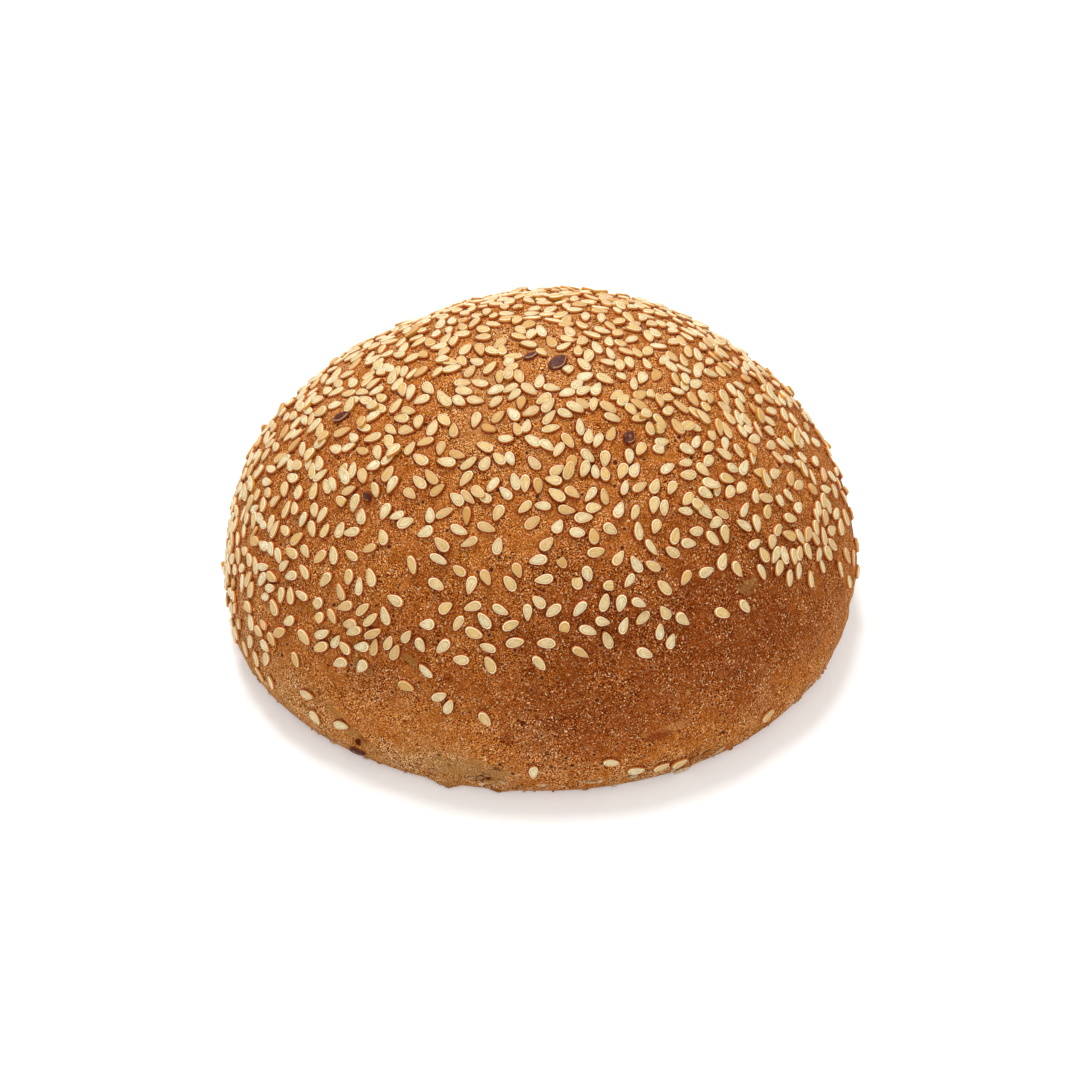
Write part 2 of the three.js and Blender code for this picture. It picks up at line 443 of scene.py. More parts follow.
    def round_foot(self, board: NodeBoard, height: float, level: object, colour: object) -> Socket:
        """Turns a seed's colour into the crust's on the skirt of crust that holds it.

        Args:
            board: The seed's board.
            height: The loaf's height in millimetres.
            level: The seed's own level, from 0 at the skirt's rim.
            colour: The seed's colour.

        Returns:
            The colour with the skirt, darkened towards the seed by a painted contact shadow.
        """
        skin, _ = self.skin(board, height)
        shaded = board.mix(board.remap(level, *self.skirt_levels), skin, self.skirt_shade, "MULTIPLY")
        return board.mix(board.remap(level, *self.skirt_end), colour, shaded)

    def baked_and_lit_depth(self, board: NodeBoard, level: object) -> Socket:
        """Works out how dark the crust is baked, with painted light in it: the crown is painted paler where light
        falls on it, and spots at its left and right edges are painted paler as if lit.

        Args:
            board: The material's board.
            level: The height's socket, from 0 at the base to 1 at the crown.

        Returns:
            A socket from 0, pale, to 1, deep brown.
        """
        heading = board.vector("NORMALIZE", board.vector("MULTIPLY", board.place, (1, 1, 0)).outputs[0]).outputs[0]
        dark, lit = (board.vector("DOT_PRODUCT", heading, side).outputs["Value"]
                     for side in (self.dark_side, self.pale_side))
        band = board.times(board.band(level, *self.band_levels),
                           board.remap(dark, *self.dark_side_facing, *self.band_shares))
        faded = board.times(board.remap(lit, *self.pale_side_facing), board.remap(level, *self.pale_side_levels))
        depth: object = self.rim_depth
        for share, gain in ((board.remap(level, *self.wall_levels), self.wall_depth), (band, self.band_depth),
                            (faded, self.pale_side_depth),
                            (board.remap(level, *self.crown_light_levels), self.crown_light_depth)):
            depth = board.math("MULTIPLY_ADD", share, gain, depth)
        drift, patches = (board.remap(board.noise(size, detail), *self.patch_noise, -swing, swing)
                          for size, detail, swing in ((self.drift_size, 1.0, self.drift_depth),
                                                      (self.patch_size, 2.0, self.patch_depth)))
        depth = board.math("ADD", board.math("ADD", depth, board.mark("bake_and_edge_light")), drift)
        return board.math("ADD", depth, patches, clamp=True)

    def scarred(self, board: NodeBoard, colour: object) -> Socket:
        """Colours the torn, floury and burnt places that the loaf's scars mark, and paints shade into the cracks.

        Args:
            board: The material's board.
            colour: The flecked colour's socket.

        Returns:
            The colour with the scars on it.
        """
        swing = self.scar_edge_swing
        rag = board.remap(board.noise(self.scar_edge_size, 3.0), *self.zone_noise, -swing, swing)
        for mark, tint, most in ((Mark.FLOURY, self.floury, self.floury_share),
                                 (Mark.TORN, self.torn, self.torn_share),
                                 (Mark.BURNT, self.burnt, self.burnt_share)):
            share = board.mark(mark.value)
            edge = board.remap(board.math("ADD", share, rag), *self.scar_edge, 0.0, most)
            colour = board.mix(board.times(edge, board.remap(share, *self.scar_rim)), colour, tint)
        crack = board.times(board.remap(board.noise(self.crack_shade_size), *self.crack_shade_noise),
                            board.remap(board.mark(Mark.CRACKED.value), *self.crack_shade_rim))
        return board.mix(crack, colour, self.crack_shade)

    def grain(self, board: NodeBoard, colour: object) -> tuple[Socket, Socket]:
        """Adds soft clouds, a sandy grain, pale specks, bran, and dark pits painted with shade.

        Args:
            board: The material's board.
            colour: The baked colour's socket.

        Returns:
            The flecked colour and the height of the skin's relief.
        """
        zone = board.remap(board.noise(self.zone_size), *self.zone_noise, self.quiet_zone, 1.0)
        sandy = board.math("ADD", board.times(board.noise(self.fine_size, 0.0), self.fine_share),
                           board.times(board.noise(self.coarse_size, 1.0), 1 - self.fine_share))
        cloud = board.remap(board.noise(self.cloud_size), *self.cloud_noise, ease="LINEAR")
        colour = board.mix(1.0, colour, board.mix(cloud, self.cloud_low, self.cloud_high), "MULTIPLY")
        for ends, tint in ((self.low_noise, self.grain_low), (self.high_noise, self.grain_high)):
            colour = board.mix(board.times(board.remap(sandy, *ends), zone), colour, tint, "MULTIPLY")
        wander = board.add("TexNoise", {"Vector": board.place, "Scale": 1 / (self.wander_size * MM), "Detail": 1.0})
        shift = board.vector("SUBTRACT", wander.outputs["Color"], (0.5, 0.5, 0.5)).outputs[0]
        ragged = board.vector("MULTIPLY_ADD", shift, (self.wander_reach * MM,) * 3, board.place).outputs[0]
        glint = board.remap(board.noise(self.glint_size, 0.0, ragged), *self.glint_noise)
        speck, bran, lip, hole = (kind.scattered(board, ragged)
                                  for kind in (self.speck, self.bran, self.pit_lip, self.pit_shade))
        speck = board.times(board.math("MAXIMUM", speck, glint), zone)
        for share, kind in ((speck, self.speck), (bran, self.bran), (lip, self.pit_lip), (hole, self.pit_shade)):
            colour = board.mix(board.times(share, kind.strength), colour, kind.colour)
        relief = board.math("MULTIPLY_ADD", speck, self.speck_height, sandy)
        return colour, board.math("MULTIPLY_ADD", hole, self.pit_height, relief)


@dataclass(frozen=True)
class SesameFinish:
    """Hulled sesame: ivory to golden, a paler rim, partly a painted highlight, round a faintly streaked middle, with
    painted shade on its groove, sides and foot, some seeds toasted.
    """

    ivory: tuple = (0.735, 0.700, 0.490, 1)
    golden: tuple = (0.69, 0.480, 0.186, 1)
    toasted: tuple = (0.56, 0.27, 0.055, 1)
    blotch_size: float = 0.8
    blotch_noise: tuple = (0.35, 0.65)
    blotch_share: float = 0.45
    streak_stretch: tuple = (0.9, 5.0, 40.0)
    streak_scale: float = 1.7
    streak_noise: tuple = (0.43, 0.61)
    streak_share: float = 0.52
    # A darker golden line inside the rim is painted shade in the groove there; the same colour draws the seed's own
    # streaks.
    groove_shade_and_streak: tuple = (0.42, 0.23, 0.055, 1)
    groove_shade_band: tuple = (0.62, 0.71, 0.75, 0.82)
    groove_shade_share: float = 0.62
    # The paler rim is partly the seed's own ridge and partly a painted highlight along its edge.
    rim: tuple = (0.92, 0.89, 0.68, 1)
    rim_band: tuple = (0.76, 0.83, 0.89, 0.97)
    rim_shares: tuple = (0.85, 0.25)
    tip: tuple = (0.62, 0.32, 0.080, 1)
    tip_reach: tuple = (0.6, 1.0)
    tip_share: float = 0.7
    # Painted shade: the seed's walls are painted orange-brown, darker than its top, as the light from above leaves
    # them.
    side: tuple = (0.56, 0.24, 0.030, 1)
    side_shade_levels: tuple = (0.91, 0.70)
    # Painted shadow: the seed's foot, where it meets the crust, is painted dark red-brown as a contact shadow.
    foot: tuple = (0.24, 0.040, 0.004, 1)
    foot_shadow_levels: tuple = (0.56, 0.42)
    waxy_levels: tuple = (0.38, 0.46)
    roughness: tuple = (0.8, 0.45)
    gloss: float = 0.2
    bump_strength: float = 0.75
    bump_depth: float = 0.15
    glow_share: float = 0.10
    glow_radii: tuple = (0.9, 0.5, 0.25)
    glow_depth: float = 0.5

    def material(self, crust: CrustFinish, height: float) -> bpy.types.Material:
        """Makes the seeds' material, which reads their own map and attributes.

        Args:
            crust: The finish of the crust that they lie on.
            height: The loaf's height in millimetres.

        Returns:
            The material.
        """
        board = NodeBoard("sesame_hulled")
        along, beside, reach = board.seed_map()
        tone, toast, level = (board.mark(name) for name in ("tone", "toast", "level"))
        colour = board.mix(tone, self.ivory, self.golden)
        blotch = board.remap(board.noise(self.blotch_size), *self.blotch_noise)
        colour = board.mix(board.times(blotch, self.blotch_share), colour, self.golden)
        colour = board.mix(toast, colour, self.toasted)
        stretched = map(board.times, (along, beside, tone), self.streak_stretch)
        lengthwise = board.add("CombineXYZ", dict(enumerate(stretched)))
        streaks = board.add("TexNoise", {"Vector": lengthwise.outputs[0], "Scale": self.streak_scale,
                                         "Detail": 2.0}).outputs["Fac"]
        rim = board.times(board.band(reach, *self.rim_band), board.remap(toast, 0.0, 1.0, *self.rim_shares))
        # Of these tints, the groove band and the sides are painted shade, the foot a painted contact shadow, and the
        # rim partly a painted highlight.
        for share, tint in ((board.remap(streaks, *self.streak_noise, 0.0, self.streak_share), self.groove_shade_and_streak),
                            (board.times(board.band(reach, *self.groove_shade_band), self.groove_shade_share), self.groove_shade_and_streak),
                            (rim, self.rim),
                            (board.times(board.remap(along, *self.tip_reach), self.tip_share), self.tip),
                            (board.remap(level, *self.side_shade_levels), self.side),
                            (board.remap(level, *self.foot_shadow_levels), self.foot)):
            colour = board.mix(share, colour, tint)
        return board.finish(Base_Color=crust.round_foot(board, height, level, colour),
                            Roughness=board.remap(level, *self.waxy_levels, *self.roughness),
                            Normal=board.bump(streaks, self.bump_strength, self.bump_depth),
                            Subsurface_Weight=self.glow_share, Subsurface_Radius=self.glow_radii,
                            Subsurface_Scale=self.glow_depth * MM, Specular_IOR_Level=self.gloss)


@dataclass(frozen=True)
class DarkGrainFinish:
    """Linseed and scorched grain: dark red-brown with worn patches and a paler line along one edge."""

    body: tuple = (0.066, 0.017, 0.011, 1)
    worn: tuple = (0.21, 0.085, 0.048, 1)
    worn_size: float = 0.7
    worn_noise: tuple = (0.4, 0.7)
    worn_share: float = 0.5
    dimple_reach: tuple = (0.38, 0.20)
    edge: tuple = (0.55, 0.30, 0.16, 1)
    edge_band: tuple = (0.76, 0.84, 0.90, 0.96)
    edge_side: tuple = (-0.10, -0.40)
    edge_share: float = 0.8
    roughness: float = 0.38
    gloss: float = 0.12
    bump_size: float = 0.3
    bump_strength: float = 0.5
    bump_depth: float = 0.1

    def material(self, crust: CrustFinish, height: float) -> bpy.types.Material:
        """Makes the dark grains' material, which reads their own map and levels.

        Args:
            crust: The finish of the crust that they lie on.
            height: The loaf's height in millimetres.

        Returns:
            The material.
        """
        board = NodeBoard("grain_dark")
        _, beside, reach = board.seed_map()
        patch = board.remap(board.noise(self.worn_size, 3.0), *self.worn_noise)
        colour = board.mix(board.times(patch, self.worn_share), self.body, self.worn)
        line = board.times(board.band(reach, *self.edge_band), board.remap(beside, *self.edge_side))
        colour = board.mix(board.times(line, self.edge_share), colour, self.edge)
        dimple = board.times(board.remap(reach, *self.dimple_reach), board.mark("toast"))
        colour = board.mix(dimple, colour, self.worn)
        relief = board.noise(self.bump_size, 3.0)
        return board.finish(Base_Color=crust.round_foot(board, height, board.mark("level"), colour),
                            Roughness=self.roughness, Specular_IOR_Level=self.gloss,
                            Normal=board.bump(relief, self.bump_strength, self.bump_depth))


@dataclass(frozen=True)
class CrumbFinish:
    """Torn crumb and loose flakes of crust, from pale to brown, with painted shade in its hollows."""

    pale: tuple = (0.60, 0.45, 0.27, 1)
    brown: tuple = (0.30, 0.105, 0.026, 1)
    # Painted shade: dark patches stand in for the shade in the crumb's hollows.
    hollow: tuple = (0.16, 0.060, 0.018, 1)
    hollow_size: float = 0.6
    hollow_noise: tuple = (0.50, 0.34)
    hollow_share: float = 0.7
    roughness: float = 0.8
    gloss: float = 0.1
    bump_size: float = 0.4
    bump_strength: float = 0.6
    bump_depth: float = 0.2

    def material(self) -> bpy.types.Material:
        """Makes the crumbs' material, which reads their tone.

        Returns:
            The material.
        """
        board = NodeBoard("crumb_torn")
        colour = board.mix(board.mark("tone"), self.pale, self.brown)
        hollow = board.times(board.remap(board.noise(self.hollow_size), *self.hollow_noise), self.hollow_share)
        relief = board.noise(self.bump_size)
        return board.finish(Base_Color=board.mix(hollow, colour, self.hollow), Roughness=self.roughness,
                            Normal=board.bump(relief, self.bump_strength, self.bump_depth),
                            Specular_IOR_Level=self.gloss)


@dataclass(frozen=True)
class FloorFinish:
    """A plain pale sweep of card."""

    colour: tuple = (0.86, 0.86, 0.86, 1)
    sheen: tuple = (0.78, 0.86, 0.95, 1)
    glow: float = 0.30
    roughness: float = 0.85
    tooth_size: float = 1.5
    tooth_strength: float = 0.05
    tooth_depth: float = 0.1

    def material(self) -> bpy.types.Material:
        """Makes the floor's material, with the faintest tooth.

        Returns:
            The material.
        """
        board = NodeBoard("floor_card")
        tooth = board.bump(board.noise(self.tooth_size), self.tooth_strength, self.tooth_depth)
        return board.finish(Base_Color=self.colour, Roughness=self.roughness, Normal=tooth,
                            Emission_Color=self.sheen, Emission_Strength=self.glow)


@dataclass(frozen=True)
class Swell:
    """A broad rise or hollow of the loaf, seen from a point inside it."""

    azimuth: float
    elevation: float
    reach: float
    rise: float

    def lift(self, outward: np.ndarray) -> np.ndarray:
        """Works out how far the swell lifts the crust.

        Args:
            outward: Unit directions from the loaf's heart.

        Returns:
            The lift in each direction.
        """
        flat = cos(radians(self.elevation))
        towards = np.array([flat * cos(radians(self.azimuth)), flat * sin(radians(self.azimuth)),
                            sin(radians(self.elevation))])
        apart = np.arccos(np.clip(outward @ towards, -1, 1)) / radians(self.reach)
        return self.rise * np.exp(-apart * apart)


@dataclass(frozen=True)
class Spot:
    """A broad place on the crust that is baked darker or paler than the rest, painted paler as if lit, or strewn
    thicker with seeds.
    """

    azimuth: float
    arc: float
    reach: float
    gain: float

    def share(self, loaf: "Loaf", points: np.ndarray) -> np.ndarray:
        """Returns its gain at points in millimetres, fading outwards."""
        return self.gain * np.exp(-(np.linalg.norm(points - loaf.spots([self]), axis=1) / self.reach) ** 2)


@dataclass(frozen=True)
class Relief:
    """One layer of the crust's relief, pressed in by a displace modifier."""

    name: str
    size: float
    depth: float
    detail: int = 1


class Mark(Enum):
    """What a scar leaves on the crust, by the name of the attribute that the finish reads."""

    FLOURY = "floury"
    TORN = "torn"
    BURNT = "burnt"
    CRACKED = "cracked"


@dataclass(frozen=True)
class Scar:
    """A place where the crust is torn, dented or floury: an ellipse with soft edges."""

    mark: Mark
    azimuth: float
    arc: float
    turn: float
    length: float
    width: float
    sink: float = 0.0
    edge: tuple = (0.35, 1.25)

    def share(self, loaf: "Loaf", points: np.ndarray) -> np.ndarray:
        """Works out how far points lie inside the scar.

        Args:
            loaf: The loaf that it is on.
            points: The points in millimetres.

        Returns:
            From 0, outside, to 1, at its middle.
        """
        middle, tip, side, _ = (rows[0] for rows in loaf.headed([self]))
        away = points - middle
        reach = np.hypot(away @ tip / (self.length / 2), away @ side / (self.width / 2))
        near = np.linalg.norm(away, axis=1) < self.length
        return np.where(near, 1 - smooth_step(*self.edge, reach), 0)


@dataclass
class Loaf:
    """The loaf under the seeds: its form, as the solid has it, and its crust as a fine mesh."""

    half_width: float = 59.4
    dome_height: float = 53.0
    wall_height: float = 11.5
    foot_radius: float = 54.8
    dome_fullness: float = 1.81
    wall_fullness: float = 2.6
    oval: float = 0.045
    oval_azimuth: float = 15
    three_cornered: float = 0.012
    corner_azimuth: float = -68
    lean: float = -0.022
    heart_height: float = 24
    base_fade_height: float = 9
    middle: tuple = (-0.7, 0.2)
    profile_steps: int = 240
    swells: tuple = (
        Swell(125, 33, 17, -0.7),
        Swell(165, 9, 17, 0.6),
        Swell(-175, -7, 17, -0.6),
        Swell(24, 6, 17, 0.3),
        Swell(-75, 48, 20, -0.5),
        Swell(-138, 30, 20, 0.4),
        Swell(-30, 30, 20, 0.4),
        Swell(-100, 5, 16, -0.4),
        Swell(85, 5, 24, 0.4),
        Swell(20, 65, 14, -0.4),
        Swell(-20, -8, 18, 0.6),
        Swell(-150, -12, 14, 0.7),
    )
    reliefs: tuple = (
        Relief("dough_lumps", 11.0, 1.2),
        Relief("blisters", 4.2, 0.6),
        Relief("pebbling", 1.6, 0.3, 2),
    )
    # Broad spots of darker or paler crust: most are baked so, but the two at azimuths 178 and -5 are painted light.
    bake_and_edge_light_spots: tuple = (
        Spot(-40, 42, 17, 0.04),
        Spot(-150, 50, 14, 0.25),
        Spot(-65, 35, 11, 0.08),
        Spot(-98, 66, 15, -0.15),
        Spot(-24, 65, 10, -0.14),
        Spot(-88, 86, 20, 0.25),
        Spot(-64, 60, 16, 0.13),
        Spot(-40, 82, 15, 0.21),
        Spot(-120, 80, 13, 0.12),
        Spot(-74, 35, 10, 0.06),
        Spot(-60, 20, 10, 0.10),
        # Painted light: these two spots paint the crust paler at its left and right edges, standing in for light that
        # wraps round the sides.
        Spot(178, 66, 18, -0.30),
        Spot(-5, 60, 20, -0.30),
        Spot(-104, 92, 12, -0.10),
    )
    scars: tuple = (
        Scar(Mark.TORN, -104, 91.5, 0, 19.0, 7.0, 0.2),
        Scar(Mark.TORN, -100, 93.5, 0, 8.0, 4.0, 0.6),
        Scar(Mark.CRACKED, -101.5, 94.5, 5, 3.8, 1.6, 0.8),
        Scar(Mark.CRACKED, -99.5, 96.2, 0, 2.8, 1.4, 0.9),
        Scar(Mark.CRACKED, -96.5, 96.4, 0, 3.6, 1.3, 0.4),
        Scar(Mark.TORN, -109, 97.8, 5, 5.6, 3.6, -0.9),
        Scar(Mark.TORN, -98.5, 98.4, -5, 5.0, 2.6, -0.45),
        Scar(Mark.FLOURY, -62, 97.6, -8, 4.6, 2.8, -0.35),
        Scar(Mark.CRACKED, -63, 95.6, -10, 3.2, 1.2, 0.4),
        Scar(Mark.CRACKED, -98.8, 90.6, 0, 1.8, 1.3, 0.4),
        Scar(Mark.CRACKED, -85, 89.5, 15, 1.6, 1.2, 0.5),
        Scar(Mark.TORN, -127, 90.5, 40, 7.5, 3.4, 0.4),
        Scar(Mark.CRACKED, -126.5, 92.5, 0, 3.0, 2.0, 0.5),
        Scar(Mark.BURNT, -125, 91, 0, 3.0, 2.4),
        Scar(Mark.TORN, -131, 87.5, 40, 7.0, 2.6, 0.3),
        Scar(Mark.CRACKED, -129, 88.5, 40, 2.0, 1.2, 0.2),
        Scar(Mark.TORN, -126, 75, 10, 6.0, 3.4, 0.2),
        Scar(Mark.CRACKED, -126.5, 75.5, 10, 1.6, 1.0, 0.2),
        Scar(Mark.TORN, -117, 70.5, 20, 4.0, 2.0, 0.3),
        Scar(Mark.CRACKED, -117.5, 71, 20, 1.8, 1.0, 0.2),
        Scar(Mark.BURNT, -96.5, 83, 0, 3.6, 2.6, 0.2),
        Scar(Mark.BURNT, -92.5, 73, 0, 3.0, 1.8, 0.2),
        Scar(Mark.CRACKED, -89, 86, 10, 1.8, 1.4, 0.5),
        Scar(Mark.BURNT, -68, 85, -5, 6.5, 2.2, 0.4),
        Scar(Mark.FLOURY, -64.5, 83.5, -10, 6.5, 2.8),
        Scar(Mark.BURNT, -60, 92.5, -20, 4.4, 2.0, 0.3),
        Scar(Mark.CRACKED, -32.5, 91.5, -60, 3.2, 1.0, 0.6),
        Scar(Mark.FLOURY, -30, 93, -25, 5.0, 2.4),
        Scar(Mark.CRACKED, -54.5, 90, 0, 2.0, 1.2, 0.4),
        Scar(Mark.BURNT, -44, 73.5, 0, 3.0, 1.6, 0.3),
        Scar(Mark.TORN, -42, 62.5, 0, 6.0, 3.4),
        Scar(Mark.FLOURY, -137, 15, 0, 12.0, 6.0, 0.3),
        Scar(Mark.FLOURY, -90, 2, 0, 11.0, 5.0, 0.3),
        Scar(Mark.FLOURY, -121.5, 60.5, 0, 3.0, 2.2),
        Scar(Mark.FLOURY, -116, 79.5, 0, 2.2, 1.8),
        Scar(Mark.CRACKED, -94, 79.5, 30, 1.6, 1.0, 0.2),
        Scar(Mark.CRACKED, -84, 69, 0, 1.6, 1.0, 0.2),
    )
    cube_cuts: int = 100
    base_share: float = 0.2
    relief_fade_height: float = 5
    slope_step: float = 0.5
    seat_spread: float = 0.35
    finish: CrustFinish = field(default_factory=CrustFinish)

    def __post_init__(self) -> None:
        """Works out the profile once."""
        self.height = self.dome_height + self.wall_height
        self.profile = self.profile_table()
        self.foot_arc = self.profile[-1, 2]

    def profile_table(self) -> np.ndarray:
        """Lists the profile from the crown to the foot.

        Returns:
            Rows of radius, height and arc.
        """
        steps = self.profile_steps
        angle = pi / 2 * (1 - np.arange(steps + 1) / steps)
        radius = self.half_width * np.maximum(0, np.cos(angle)) ** (2 / self.dome_fullness)
        radius[0] = 0
        height = self.wall_height + self.dome_height * np.sin(angle) ** (2 / self.dome_fullness)
        angle = pi / 2 * (np.arange(1, steps + 1) / steps)
        inward = np.maximum(0, np.cos(angle)) ** (2 / self.wall_fullness)
        radius = np.append(radius, self.foot_radius + (self.half_width - self.foot_radius) * inward)
        height = np.append(height, self.wall_height * (1 - np.sin(angle) ** (2 / self.wall_fullness)))
        arc = np.append(0, np.cumsum(np.hypot(np.diff(radius), np.diff(height))))
        return np.column_stack([radius, height, arc])

    def profile_at(self, arc: np.ndarray) -> tuple[np.ndarray, np.ndarray]:
        """Returns the plain profile's radius and height at a way down from the crown."""
        radius, height, arcs = self.profile.T
        return np.interp(arc, arcs, radius), np.interp(arc, arcs, height)

    def baked(self, azimuth: np.ndarray, radius: np.ndarray, height: np.ndarray) -> np.ndarray:
        """Makes points of the plain profile oval, three-cornered, leaning and swollen.

        Args:
            azimuth: Their azimuths in radians.
            radius: Their plain radii.
            height: Their plain heights.

        Returns:
            The points in millimetres.
        """
        oval = self.oval * np.cos(2 * (azimuth - radians(self.oval_azimuth)))
        corners = self.three_cornered * np.cos(3 * (azimuth - radians(self.corner_azimuth)))
        reach = radius * (1 + oval + corners)
        level = height / self.height
        x, y = reach * np.cos(azimuth), reach * np.sin(azimuth)
        points = np.stack([x, y, height + self.lean * x * 4 * level * (1 - level)], axis=-1)
        outward = unit(points - [0, 0, self.heart_height])
        rise = sum(swell.lift(outward) for swell in self.swells)
        points = points + outward * (rise * smooth_step(0, self.base_fade_height, height))[..., None]
        return points - [*self.middle, 0]

    def crust_points(self, azimuth: np.ndarray, arc: np.ndarray) -> np.ndarray:
        """Returns the crust's points at azimuths in radians and ways down from the crown."""
        return self.baked(azimuth, *self.profile_at(arc))

    def spots(self, things: Iterable) -> np.ndarray:
        """Returns the crust's points at things that have an azimuth in degrees and an arc."""
        azimuth, arc = columns(things, "azimuth", "arc")
        return self.crust_points(np.radians(azimuth), arc)

    def headed(self, things: Iterable) -> tuple[np.ndarray, ...]:
        """Finds the crust under things that have an azimuth and a turn in degrees, and an arc.

        Args:
            things: Seeds, crumbs or scars.

        Returns:
            Their points on the smooth crust, and the unit directions along, beside and out from them.
        """
        azimuth, arc, turn = columns(things, "azimuth", "arc", "turn")
        azimuth, heading, step = np.radians(azimuth), np.radians(turn)[:, None], self.slope_step
        points = self.crust_points(azimuth, arc)
        down = self.crust_points(azimuth, arc + step) - self.crust_points(azimuth, arc - step)
        round_step = step / np.maximum(1, np.hypot(points[:, 0], points[:, 1]))
        across = unit(self.crust_points(azimuth + round_step, arc) - self.crust_points(azimuth - round_step, arc))
        out = unit(np.cross(down, across))
        tip = across * np.cos(heading) + np.cross(across, out) * np.sin(heading)
        return points, tip, np.cross(out, tip), out

    def build(self) -> Piece:
        """Models the crust: a cube cut fine, rounded, drawn to the loaf's form and given its relief.

        Returns:
            The finished piece.
        """
        bpy.ops.object.select_all(action="DESELECT")
        bpy.ops.mesh.primitive_cube_add(size=2)
        crust = bpy.context.object
        crust.name = crust.data.name = "crust"
        bpy.ops.object.mode_set(mode="EDIT")
        bpy.ops.mesh.select_all(action="SELECT")
        bpy.ops.mesh.subdivide(number_cuts=self.cube_cuts)
        bpy.ops.transform.tosphere(value=1)
        bpy.ops.object.mode_set(mode="OBJECT")
        self.draw_to_form(crust)
        for relief in self.reliefs:
            press_clouds(crust, relief.name, relief.size * MM, relief.depth * MM, relief.detail, RELIEF_GROUP)
        self.press_scars(crust)
        bpy.ops.object.shade_smooth()
        crust.data.materials.append(self.finish.material(self.height))
        self.tree = BVHTree.FromObject(crust, bpy.context.evaluated_depsgraph_get())
        return crust

    def draw_to_form(self, crust: Piece) -> None:
        """Moves the ball's points onto the loaf, with a vertex group that fades its relief at the base.

        Args:
            crust: The ball.
        """
        directions = unit(get_points(crust))
        azimuth = np.arctan2(directions[:, 1], directions[:, 0])
        way = np.arccos(np.clip(directions[:, 2], -1, 1)) / pi / (1 - self.base_share)
        radius, height = self.profile_at(np.minimum(way, 1) * self.foot_arc)
        under = np.clip((1 - way * (1 - self.base_share)) / self.base_share, 0, 1)
        radius = np.where(way > 1, self.foot_radius * under, radius)
        drawn = self.baked(azimuth, radius, np.where(way > 1, 0, height))
        set_points(crust, drawn)
        group = crust.vertex_groups.new(name=RELIEF_GROUP)
        shares = smooth_step(0, self.relief_fade_height, height) * (way <= 1)
        for share in np.unique(np.round(shares, 1)):
            group.add(np.flatnonzero(np.round(shares, 1) == share).tolist(), float(share), "REPLACE")

    def press_scars(self, crust: Piece) -> None:
        """Sinks the scars into the crust and writes their marks on its points.

        Args:
            crust: The crust with its relief.
        """
        points = get_points(crust) / MM
        inward = unit([0, 0, self.heart_height] - points)
        marks = {mark.value: np.zeros(len(points)) for mark in Mark}
        for scar in self.scars:
            share = scar.share(self, points)
            points = points + inward * (share * scar.sink)[:, None]
            marks[scar.mark.value] = np.maximum(marks[scar.mark.value], share)
        points[:, 2] = np.maximum(points[:, 2], 0)
        set_points(crust, points)
        write_marks(crust.data, {"bake_and_edge_light": self.bake_and_edge_light(points), **marks})

    def bake_and_edge_light(self, points: np.ndarray) -> np.ndarray:
        """Works out how much darker or paler than the rest the crust is at points in millimetres, by baked spots and
        by spots of painted light.
        """
        return sum(tone_spot.share(self, points) for tone_spot in self.bake_and_edge_light_spots)

    def on_crust(self, points: np.ndarray, lift: float = 0.0) -> np.ndarray:
        """Moves points onto the finished crust, along lines from the loaf's heart.

        Args:
            points: The points in millimetres.
            lift: How far outside the crust they end.

        Returns:
            The moved points.
        """
        heart = np.array([0, 0, self.heart_height])
        moved = []
        for way in unit(points - heart):
            hit = self.tree.ray_cast(Vector((heart + way * 2 * self.half_width) * MM), Vector(-way))[0]
            moved.append(np.array(hit) / MM + way * lift)
        return np.array(moved)

    def seats(self, places: list["Place"]) -> tuple[np.ndarray, ...]:
        """Finds how things of the places' sizes lie on the finished crust.

        Args:
            places: The places.

        Returns:
            Their middles on the crust, and the unit directions along, beside and up from them.
        """
        points, tip, beside, _ = self.headed(places)
        length, width = columns(places, "length", "width")
        long, wide = tip * (length * self.seat_spread)[:, None], beside * (width * self.seat_spread)[:, None]
        around = np.stack([points + long, points - long, points + wide, points - wide, points], axis=1)
        rests = self.on_crust(around.reshape(-1, 3)).reshape(-1, 5, 3)
        tip = unit(rests[:, 0] - rests[:, 1])
        up = unit(np.cross(tip, rests[:, 2] - rests[:, 3]))
        return rests.mean(axis=1), tip, np.cross(up, tip), up


@dataclass(frozen=True)
class Place:
    """Where a seed, a grain or a crumb lies on the crust, and its size."""

    azimuth: float
    arc: float
    turn: float
    length: float = 3.45
    width: float = 1.85
    lift: float = 0.0
    lean: float = 0.0
    toast: float | None = None


def taken_apart(piece: Piece) -> tuple[np.ndarray, list[tuple[int, ...]]]:
    """Takes a mould's form and removes its object.

    Args:
        piece: The mould.

    Returns:
        Its points and its faces.
    """
    points, faces = get_points(piece), [tuple(face.vertices) for face in piece.data.polygons]
    bpy.data.objects.remove(piece)
    return points, faces


